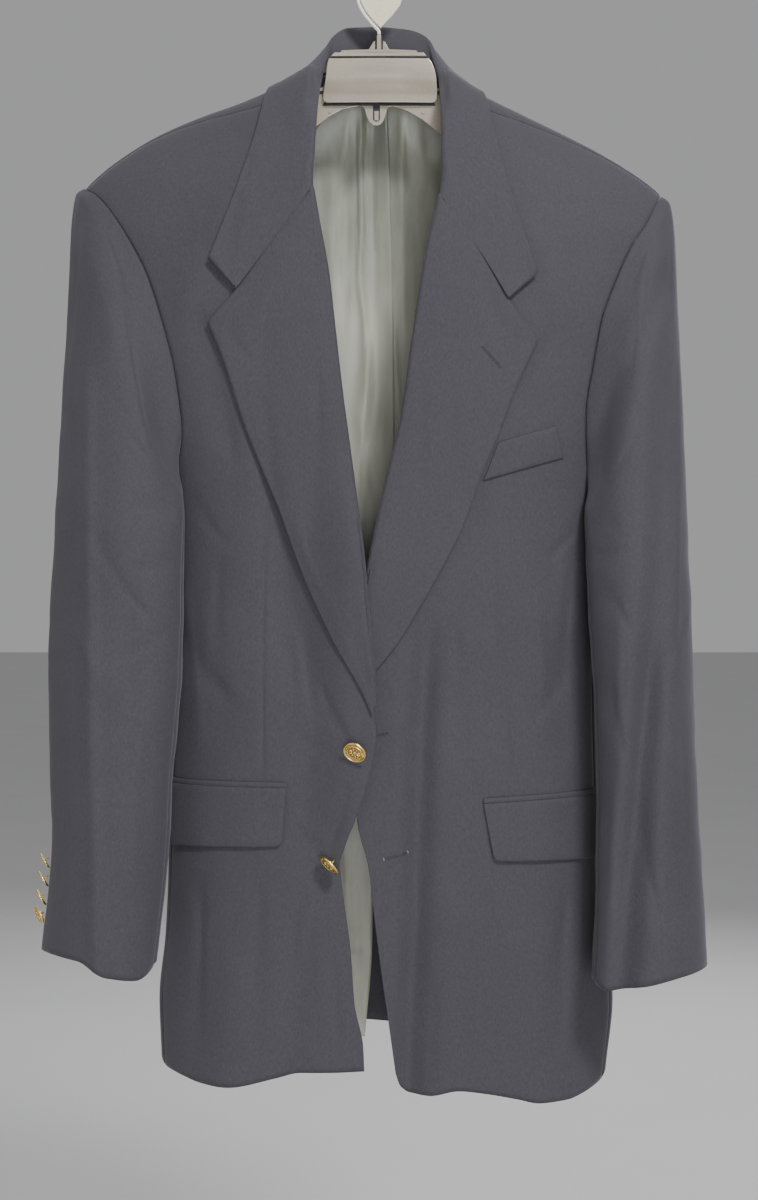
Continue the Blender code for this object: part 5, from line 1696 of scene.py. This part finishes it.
@dataclass
class Buttonhole:
    """A worked buttonhole: a slit drawn as a near-black thread of painted shade, bars of thread along both
    lips and a bar at the end.
    """

    name: str
    ground: Ground
    start: Row
    end: Row
    pale_bar: bool = False
    reach: float = 1.45
    pitch: float = 0.62

    def build(self, finishes: Finishes) -> None:
        """Makes the threads."""
        start, end = Vector(self.start), Vector(self.end)
        along = (end - start).normalized()
        side = Vector((-along.y, along.x))
        count = round((end - start).length / self.pitch)

        def spot(share: float, across: float, off: float) -> Vector:
            """A place beside the slit."""
            flat = start.lerp(end, share) + side * across
            return self.ground.at(flat.x, flat.y, WALL / 2 + off)

        lips = []
        for k in range(count + 1):
            share = k / count
            uneven = 0.12 * math.sin(7.3 * k + 2 * start.x)
            for lip in (-1, 1):
                reach = lip * (self.reach + uneven)
                lips.append([spot(share, lip * 0.5, 0.05), spot(share, lip * 0.7, 0.42),
                             spot(share, reach * 0.8, 0.3), spot(share, reach, -0.1)])
        slit = [[spot(k / 12, 0.0, 0.2) for k in range(13)]]
        bars = [[spot(share, -1.1, 0.0), spot(share, -0.7, 0.5), spot(share, 0.7, 0.5), spot(share, 1.1, 0.0)]
                for share in (-0.04, -0.01, 1.01, 1.04)]
        dress(thread_line(f"{self.name}_lips", lips, 0.46), finishes.hole_thread, "navy_wool")
        # The slit is a near-black thread of painted shade where the opening lies.
        dress(thread_line(f"{self.name}_slit", slit, 1.15), finishes.shadow, "navy_wool")
        bar_finish = finishes.pale_thread if self.pale_bar else finishes.hole_thread
        dress(thread_line(f"{self.name}_bar", bars, 0.42), bar_finish, "navy_wool")


@dataclass
class Button:
    """A turned and gilded button with a plain rosette, hung on a wire shank."""

    node: str
    centre: Vector
    face: Vector
    radius: float
    profile: Rows = (
        (0, 0.25), (0.06, 0.25), (0.11, 0.235), (0.14, 0.20), (0.20, 0.185), (0.40, 0.18), (0.56, 0.165),
        (0.60, 0.195), (0.645, 0.20), (0.67, 0.165), (0.70, 0.14), (0.80, 0.125), (0.83, 0.16), (0.87, 0.195),
        (0.92, 0.195), (0.965, 0.165), (0.995, 0.11), (1.0, 0.07), (0.985, 0.03), (0.94, 0.0), (0.60, -0.02),
        (0.20, -0.04), (0, -0.04),
    )
    petals: int = 8
    beads: int = 36

    def relief(self, mesh: bmesh.types.BMesh) -> None:
        """Adds the rosette's petals and the ring of beads."""
        for k in range(self.petals):
            turn = Matrix.Rotation(math.tau * k / self.petals, 4, "Z")
            petal = turn @ Matrix.Translation((0.34, 0, 0.18)) @ Matrix.Diagonal((0.17, 0.085, 0.045, 1))
            bmesh.ops.create_uvsphere(mesh, u_segments=12, v_segments=6, radius=1, matrix=petal)
            between = Matrix.Rotation(math.tau * (k + 0.5) / self.petals, 4, "Z")
            dot = between @ Matrix.Translation((0.47, 0, 0.175)) @ Matrix.Diagonal((0.045, 0.045, 0.035, 1))
            bmesh.ops.create_uvsphere(mesh, u_segments=8, v_segments=4, radius=1, matrix=dot)
        for k in range(self.beads):
            turn = Matrix.Rotation(math.tau * k / self.beads, 4, "Z")
            bead = turn @ Matrix.Translation((0.75, 0, 0.135)) @ Matrix.Scale(0.047, 4)
            bmesh.ops.create_uvsphere(mesh, u_segments=8, v_segments=4, radius=1, matrix=bead)

    def shank(self, mesh: bmesh.types.BMesh) -> None:
        """Adds the wire loop behind the button."""
        made = bmesh.ops.create_circle(mesh, segments=12, radius=0.06, matrix=Matrix.Translation((0.2, 0, 0)))
        verts = made["verts"]
        edges = [e for e in mesh.edges if all(v in verts for v in e.verts)]
        spun = bmesh.ops.spin(mesh, geom=verts + edges, cent=(0, 0, 0), axis=(0, 1, 0), angle=math.pi,
                              steps=18)
        loop = {
            v for f in mesh.faces for v in f.verts
            if v.co.z < -0.045 or (abs(v.co.y) < 0.07 and v in verts)
        }
        for vert in loop | {g for g in spun["geom_last"] if isinstance(g, bmesh.types.BMVert)}:
            vert.co.z *= 2.3

    def build(self, finishes: Finishes) -> None:
        """Makes the button."""
        mesh = bmesh.new()
        self.shank(mesh)
        points = [mesh.verts.new((r, 0, h)) for r, h in self.profile]
        edges = [mesh.edges.new(pair) for pair in zip(points, points[1:])]
        bmesh.ops.spin(mesh, geom=points + edges, cent=(0, 0, 0), axis=(0, 0, 1), angle=math.tau,
                       steps=56, use_merge=True)
        bmesh.ops.remove_doubles(mesh, verts=mesh.verts, dist=0.0005)
        bmesh.ops.recalc_face_normals(mesh, faces=mesh.faces)
        recess = mesh.verts.layers.float.new("recess")
        for vert in mesh.verts:
            r = math.hypot(vert.co.x, vert.co.y)
            well = ease((r - 0.13) / 0.04) * ease((0.59 - r) / 0.04)
            track = ease((r - 0.66) / 0.03) * ease((0.84 - r) / 0.03)
            vert[recess] = max(well, track) if vert.co.z > 0.05 else 0.55
        fresh = len(mesh.verts)
        self.relief(mesh)
        mesh.verts.ensure_lookup_table()
        for vert in mesh.verts[fresh:]:
            vert[recess] = 0.0
        turn = Vector(self.face).to_track_quat("Z", "Y").to_matrix().to_4x4()
        size = self.radius * MM
        mesh.transform(Matrix.Translation(self.centre * MM) @ turn @ Matrix.Scale(size, 4))
        dress(from_bmesh(f"{self.node}_gilt", mesh), finishes.gilt, "gilt_metal", self.node)


@dataclass
class Buttoning:
    """Where the buttons are sewn on."""

    front: Front
    sleeves: dict[int, Sleeve]
    front_radius: float = 10.0
    cuff_radius: float = 7.5
    shank: float = 0.3
    settle: float = 0.3
    fronts: tuple[tuple[str, float, float, Row], ...] = (
        ("front_button_upper", -19.5, -671.0, (-0.32, -0.77, -0.55)),
        ("front_button_lower", -40.0, -763.0, (-0.66, -0.36, -0.66)),
    )
    cuffs: tuple[tuple[float, Row, float], ...] = (
        (-764, (-0.83, -0.22, -0.52), 0.5), (-780, (-0.82, -0.20, -0.54), 0.0),
        (-796, (-0.84, -0.16, -0.52), 0.0), (-811, (-0.78, -0.48, -0.40), 0.0),
    )

    def stand(self, face: Row, cloth: Vector, radius: float) -> float:
        """How far a button's centre stands off the cloth's middle."""
        cosine = min(abs(Vector(face).normalized().dot(cloth)), 1.0)
        return WALL / 2 + self.shank - self.settle + max(radius * math.sqrt(1 - cosine**2), 0.42 * radius)

    def build(self, finishes: Finishes) -> None:
        """Makes every button."""
        for name, x, z, face in self.fronts:
            cloth = TORSO.normal(x, z)
            centre = self.front.on(x, z, self.stand(face, cloth, self.front_radius), 0.0)
            Button(name, centre, Vector(face), self.front_radius).build(finishes)
        for side, degrees in ((-1, 4.0), (1, -42.0)):
            sleeve = self.sleeves[side]
            rails = sleeve.rails[side]
            height_at = Fair.over([(row[2], k) for k, row in enumerate(rails)])
            for k, (z, face, lift) in enumerate(self.cuffs):
                at = height_at.one(z - (8 if side > 0 else 0))
                here = sleeve.point(at, degrees, 0, 0)
                around = sleeve.point(at, degrees + 3, 0, 0) - sleeve.point(at, degrees - 3, 0, 0)
                along = sleeve.point(at + 0.05, degrees, 0, 0) - sleeve.point(at - 0.05, degrees, 0, 0)
                cloth = around.cross(along).normalized()
                cloth = -cloth if cloth.x * side < 0 else cloth
                looks = face if side < 0 else (cloth.x, cloth.y, -0.55)
                centre = here + cloth * (self.stand(looks, cloth, self.cuff_radius) + lift)
                name = f"cuff_button_{Side(side).word}_{k + 1}"
                Button(name, centre, Vector(looks), self.cuff_radius).build(finishes)


@dataclass
class Hanger:
    """The hanger: a crowned plate, a flange behind it, a stem, and a wire hook with a web."""

    plate_grid: tuple[int, int] = (72, 36)
    plate_top: float = -87.9
    plate_height: float = 37.4
    plate_corner: float = 4.2
    plate_left: Rows = ((-86, -42.0), (-92, -43.6), (-105, -45.2), (-118, -47.2), (-127, -47.9))
    plate_right: Rows = ((-86, 41.0), (-92, 45.0), (-99, 47.6), (-107, 48.8), (-118, 49.3), (-127, 49.5))
    flange: Rows = (
        (-28, -84.2), (-31, -95), (-34.5, -108), (-41, -116.5), (-62, -118), (-62, -149), (-51.7, -143),
        (-42.2, -135.8), (-31.1, -130.0), (-22, -128.0), (-15.6, -127.0), (-13.6, -127.6), (-12.3, -129.6),
        (-10.2, -137.0), (-8.2, -141.0), (-5.2, -143.4), (-2.4, -143.8), (0.8, -143.0), (3.4, -140.6),
        (5.4, -135.6), (6.8, -130.2), (8.2, -128.0), (10.6, -127.3), (16.4, -128.5), (24, -131.4),
        (36.4, -138.4), (52.7, -151.0), (62, -156), (62, -118.5), (41, -116.5), (34.5, -108), (31, -95),
        (28, -84.2),
    )
    rise: Rows = ((0, -62.0), (0, -60.0), (-1.0, -58.0), (-3.5, -55.5), (-7.3, -51.2), (-14.1, -42.4),
                  (-18.0, -33.0), (-18.9, -25.0))
    web: Rows = ((1.5, -56.6), (-5.0, -50.2), (-12.2, -41.0), (-15.9, -33.0), (-16.2, -28.5), (-11, -30.9),
                 (-5.5, -32.2), (0, -32.6), (5.5, -32.2), (11, -30.9), (19.6, -27.5), (19.4, -33.0),
                 (17.6, -37.5), (11.5, -45.5))
    wire: float = 3.0
    hook_inner: float = 16.0

    def __post_init__(self) -> None:
        """Makes the smooth curves of the plate's sides."""
        self.left_at, self.right_at = Fair.over(self.plate_left), Fair.over(self.plate_right)

    def slab(self, name: str, outline: Rows, y: float, thick: float, round_off: float) -> bpy.types.Object:
        """A flat moulded piece from its outline as x and z, with rounded edges."""
        mesh = bmesh.new()
        face = mesh.faces.new([mesh.verts.new(Vector((x, y - thick / 2, z)) * MM) for x, z in outline])
        pushed = bmesh.ops.extrude_face_region(mesh, geom=[face])
        for item in pushed["geom"]:
            if isinstance(item, bmesh.types.BMVert):
                item.co.y += thick * MM
        bmesh.ops.recalc_face_normals(mesh, faces=mesh.faces)
        rims = [e for e in mesh.edges if abs(e.verts[0].co.y - e.verts[1].co.y) < 1e-7]
        bmesh.ops.bevel(mesh, geom=rims, offset=round_off * MM, offset_type="OFFSET", segments=3, profile=0.5,
                        affect="EDGES", material=-1, clamp_overlap=True)
        return from_bmesh(name, mesh, smooth=False)

    def pin(self, name: str, x: float, z: float, y: float, radius: float, proud: float) -> bpy.types.Object:
        """A round mark that stands a little proud of a face that looks at the viewer."""
        mesh = bmesh.new()
        place = Matrix.Translation(Vector((x, y, z)) * MM) @ Matrix.Rotation(math.pi / 2, 4, "X")
        bmesh.ops.create_cone(mesh, cap_ends=True, segments=40, radius1=radius * MM,
                              radius2=radius * 0.9 * MM, depth=proud * MM, matrix=place)
        return from_bmesh(name, mesh, smooth=False)

    def crowned(self, column: int, row: int) -> Vector:
        """A point of the plate, which is slightly crowned."""
        height, corner = self.plate_height, self.plate_corner
        s, t = column / self.plate_grid[0], row / self.plate_grid[1]
        z = self.plate_top - height * t
        left, right = self.left_at.one(z), self.right_at.one(z)
        x = left + (right - left) * s
        near = max(0.0, t * height - height + corner) / corner
        inset = corner * (1 - math.sqrt(max(0.0, 1 - near**2)))
        x += inset * (1 - 2 * s)
        hollow = 1.7 * bell(z + 107, 7.0) * ease(1.6 - abs(x) / 28)
        crown = 1.4 * (1 - (x / 50) ** 2) + 1.1 * math.sin(math.pi * t)
        return Vector((x, -16.9 - crown + hollow, z))

    def build_plate(self, finishes: Finishes) -> None:
        """Makes the plate with its rim, near-black slabs of painted shade in its grooves, and its marks."""
        plate = lay("plate_face", self.plate_grid, self.crowned, 2.6, (0.1, 0.04))
        rounded = plate.modifiers.new("rounded", "BEVEL")
        rounded.width, rounded.segments, rounded.limit_method = 0.7 * MM, 3, "ANGLE"
        rounded.angle_limit = math.radians(60)
        dress(plate, finishes.plastic, "hanger_plastic", "hanger_plate")
        rim = ((-37.6, -82.6), (37.6, -82.6), (40.6, -85.6), (-41.0, -85.6))
        dress(self.slab("plate_rim", rim, -16.6, 3.0, 0.6), finishes.plastic, "hanger_plastic")
        # Painted shade: thin near-black slabs in the rim groove and in the gap under the plate.
        groove_shades = {"rim_groove_shade": (((-40, -85.2), (40, -85.2), (41.5, -88.6), (-41.5, -88.6)), -15.2),
                   "plate_groove_shade": (((-47, -124.2), (47, -124.2), (48, -127.0), (-48, -127.0)), -14.35)}
        for name, (outline, y) in groove_shades.items():
            dress(self.slab(name, outline, y, 0.2, 0.03), finishes.shadow, "hanger_plastic")
        for k, (x, z) in enumerate(((-42.8, -97.2), (40.2, -97.2))):
            made = self.pin(f"plate_mark_{k + 1}", x * 0.93, z, -18.2, 1.2, 0.6)
            dress(made, finishes.plastic, "hanger_plastic")

    def build_flange(self, finishes: Finishes) -> None:
        """Makes the flange with its slotted tab, whose slot is a near-black slab of painted shade, and its
        marks.
        """
        web = self.slab("flange_web", self.flange, -13.0, 2.4, 0.5)
        dress(web, finishes.plastic, "hanger_plastic", "hanger_flange")
        # Painted shade: a thin near-black slab stands for the shade in the tab's slot.
        slot = ((-5.2, -126.6), (0.8, -126.6), (0.8, -138.6), (-0.6, -140.4), (-3.8, -140.4), (-5.2, -138.6))
        dress(self.slab("tab_slot_shade", slot, -14.2, 0.16, 0.02), finishes.shadow, "hanger_plastic")
        post = ((-4.1, -131.6), (-0.3, -131.6), (-0.4, -139.6), (-3.9, -139.6))
        dress(self.slab("tab_post", post, -14.6, 1.0, 0.3), finishes.plastic, "hanger_plastic")
        for k, (x, z, radius) in enumerate(((-43.9, -136.0, 1.5), (39.6, -136.4, 1.9))):
            made = self.pin(f"flange_mark_{k + 1}", x * 0.95, z + 4, -14.5, radius, 0.7)
            dress(made, finishes.plastic, "hanger_plastic")

    def build_stem(self, finishes: Finishes) -> None:
        """Makes the stem with a gusset at either side."""
        stem = ((-1.9, -78.2), (-1.9, -63.4), (-1.3, -62.6), (1.3, -62.6), (1.9, -63.4), (1.9, -78.2))
        dress(self.slab("stem_post", stem, 0, 5.0, 0.6), finishes.plastic, "hanger_plastic", "hanger_stem")
        corners = ((3.3, -67.8), (4.3, -68.0), (10.7, -77.8), (3.3, -78.0))
        for side in Side:
            outline = tuple((side * x, z) for x, z in corners)
            made = self.slab(f"stem_gusset_{side.word}", outline, 0, 2.6, 0.4)
            dress(made, finishes.plastic, "hanger_plastic")

    def build_hook(self, finishes: Finishes) -> None:
        """Makes the wire hook and the web that fills its throat."""
        middle = self.hook_inner + self.wire / 2
        rise = Fair.along(self.rise)
        start, end, steps = math.radians(200), math.radians(-8), 72
        points = [Vector((rise(k / 40)[0], 0, rise(k / 40)[1])) for k in range(40)]
        for k in range(steps + 1):
            angle = start + (end - start) * k / steps
            points.append(Vector((middle * math.cos(angle), 0, middle * math.sin(angle) - self.hook_inner)))
        hook = thread_line("hook_bent_wire", [points], self.wire)
        hook.data.bevel_resolution = 6
        dress(hook, finishes.wire, "white_wire", "hanger_hook")
        dress(self.slab("hook_web", self.web, 0, 2.4, 0.6), finishes.cream, "white_wire", "hanger_web")
        dress(self.pin("web_mark", 0.4, -43.9, -1.3, 3.7, 0.5), finishes.cream, "white_wire")

    def build(self, finishes: Finishes, frame: dict[str, Any]) -> None:
        """Makes the hanger. The arms, which the shoulders hide, keep the solid's own shape."""
        self.build_plate(finishes)
        self.build_flange(finishes)
        self.build_stem(finishes)
        self.build_hook(finishes)
        arms = frame["nodes"]["hanger_arms"]
        arms.data.materials.clear()
        arms.data.materials.append(finishes.plastic)


class Studio:
    """The floor, the lights and the camera."""

    LIGHTS = (
        ("key", (0.95, -2.1, 1.6), (0.6, 0.5), 90), ("front", (0.3, -3.0, -1.0), (1.2, 0.9), 50),
        ("fill", (-2.2, -1.6, 0.3), (2.0, 2.0), 9), ("top", (0.1, 0.3, 2.1), (2.4, 1.8), 12),
        ("back", (0.7, 2.8, 0.8), (2.2, 2.0), 48),
    )

    def __init__(self, finishes: Finishes) -> None:
        """Makes the stage.

        Args:
            finishes: The materials.
        """
        mesh = bmesh.new()
        bmesh.ops.create_grid(mesh, x_segments=1, y_segments=1, size=30)
        for vert in mesh.verts:
            vert.co.z = -1.45
        floor = from_bmesh("floor", mesh, smooth=False)
        floor.data.materials.append(finishes.floor)
        self.made = [floor]
        for light in self.LIGHTS:
            self.area(*light)
        self.air()
        self.look()
        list(self.made)

    def area(self, name: str, place: Row, size: Row, power: float) -> None:
        """A soft light that faces the blazer."""
        data = bpy.data.lights.new(name, "AREA")
        data.shape, data.size, data.size_y, data.energy = "RECTANGLE", size[0], size[1], power
        made = linked(name, data)
        made.location = place
        aim = Vector((0, 0, -0.5)) - Vector(place)
        made.rotation_euler = aim.to_track_quat("-Z", "Y").to_euler()
        self.made.append(made)

    def air(self) -> None:
        """The pale light from all round."""
        world = bpy.data.worlds.new("air")
        world.use_nodes = True
        shade = world.node_tree.nodes["Background"]
        shade.inputs["Color"].default_value = (0.85, 0.85, 0.86, 1)
        shade.inputs["Strength"].default_value = 0.42
        bpy.context.scene.world = world

    def look(self) -> None:
        """The camera, level and straight on."""
        data = bpy.data.cameras.new("camera")
        data.lens, data.sensor_fit, data.sensor_height = 54.9, "VERTICAL", 36
        camera = linked("camera", data)
        camera.location = (0, -1.572, -0.5477)
        camera.rotation_euler = (math.radians(90), 0, 0)
        bpy.context.scene.camera = camera
        self.made.append(camera)


class Blazer:
    """The whole of the dressed part."""

    def __init__(self, finishes: Finishes, frame: dict[str, Any]) -> None:
        """Keeps the finishes and makes the forms that the pieces share.

        Args:
            finishes: The materials.
        """
        self.finishes, self.frame = finishes, frame
        self.fronts = {side: Front(side) for side in Side}
        self.backs = {side: Back(side) for side in Side}
        self.sleeves = {side: Sleeve(side) for side in Side}
        self.rolls = {side: Roll(self.fronts[side]) for side in Side}
        self.lapels = {side: Lapel(self.rolls[side]) for side in Side}

    def neck_edge(self, side: int) -> list[Vector]:
        """The neck's edge, from the centre back over the shoulder and down the front."""
        back, front = self.backs[side], self.fronts[side]
        edge = [back.place(column, back.laps) for column in range(0, back.neck_columns + 1, 3)]
        edge += [back.place(back.neck_columns, row) for row in range(back.laps - 1, -1, -2)]
        return edge + [front.place(0, row) for row in range(0, 130, 2)]

    def build(self) -> None:
        """Makes every piece."""
        for side in Side:
            pieces = (self.fronts[side], SideBody(side), self.backs[side], self.sleeves[side],
                      self.lapels[side], Lining(side))
            for piece in pieces:
                piece.build(self.finishes)
        Collar(self.rolls, {side: self.neck_edge(side) for side in Side}).build(self.finishes)
        for piece in pocket_pieces(self.fronts):
            piece.build(self.finishes)
        Buttoning(self.fronts[Side.LEFT], self.sleeves).build(self.finishes)
        self.sew()
        self.seam()
        Hanger().build(self.finishes, self.frame)

    def sew(self) -> None:
        """Makes the buttonholes and the welt's stitches."""
        cloth = bpy.data.objects
        right = Ground(cloth["front_panel_right"])
        lapel = Ground(cloth["lapel_right_facing"])
        welt = Ground(cloth["chest_welt_cloth"])
        holes = (
            Buttonhole("lapel_hole", lapel, (84.9, -340.2), (99.2, -355.8)),
            Buttonhole("upper_hole", right, (7.8, -656.5), (-12.0, -660.3)),
            Buttonhole("lower_hole", right, (22.5, -754.9), (4.5, -760.1), True),
        )
        for hole in holes:
            hole.build(self.finishes)
        runs = {
            "welt_tack_inner": (welt, (97.4, -421.5), (87.4, -447.0)),
            "welt_tack_outer": (welt, (146.2, -407.5), (151.6, -427.5)),
        }
        for name, (ground, start, end) in runs.items():
            first, last = Vector(start), Vector(end)

            def at(share: float, off: float) -> Vector:
                """A place of the run."""
                flat = first.lerp(last, share)
                return ground.at(flat.x, flat.y, off)

            Stitches(name, at, (last - first).length, 1.9, 1.3).build(self.finishes)

    def seam(self) -> None:
        """Makes the lines of the dart and the armhole seams."""
        darts = {Side.LEFT: ((-91.4, -466), (-96, -640), (-95.4, -702)),
                 Side.RIGHT: ((93, -500), (106.2, -640), (112.6, -710))}
        for side, dart in darts.items():
            path = Fair.along(dart)
            line = [self.fronts[side].on(*path(k / 90), 0.62) for k in range(91)]
            dress(thread_line(f"dart_seam_{side.word}", [line], 0.5), self.finishes.navy_thread, "navy_wool")
        for side, sleeve in self.sleeves.items():

            def round_armhole(share: float, off: float) -> Vector:
                """A place of the armhole's seam."""
                return sleeve.loop(share) + Vector((-side * (1.4 - off), 0, -0.4))

            name = f"armhole_seam_{side.word}"
            Stitches(name, round_armhole, 620, 3.6, 3.0, 0.5, 0.0).build(self.finishes)


def main() -> None:
    """Builds the blazer and its stage."""
    logging.basicConfig(level=logging.INFO, format="%(message)s")
    for old in list(bpy.data.objects):
        bpy.data.objects.remove(old)
    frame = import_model()
    finishes = Finishes()
    Blazer(finishes, frame).build()
    Studio(finishes)


if __name__ == "__main__":
    main()
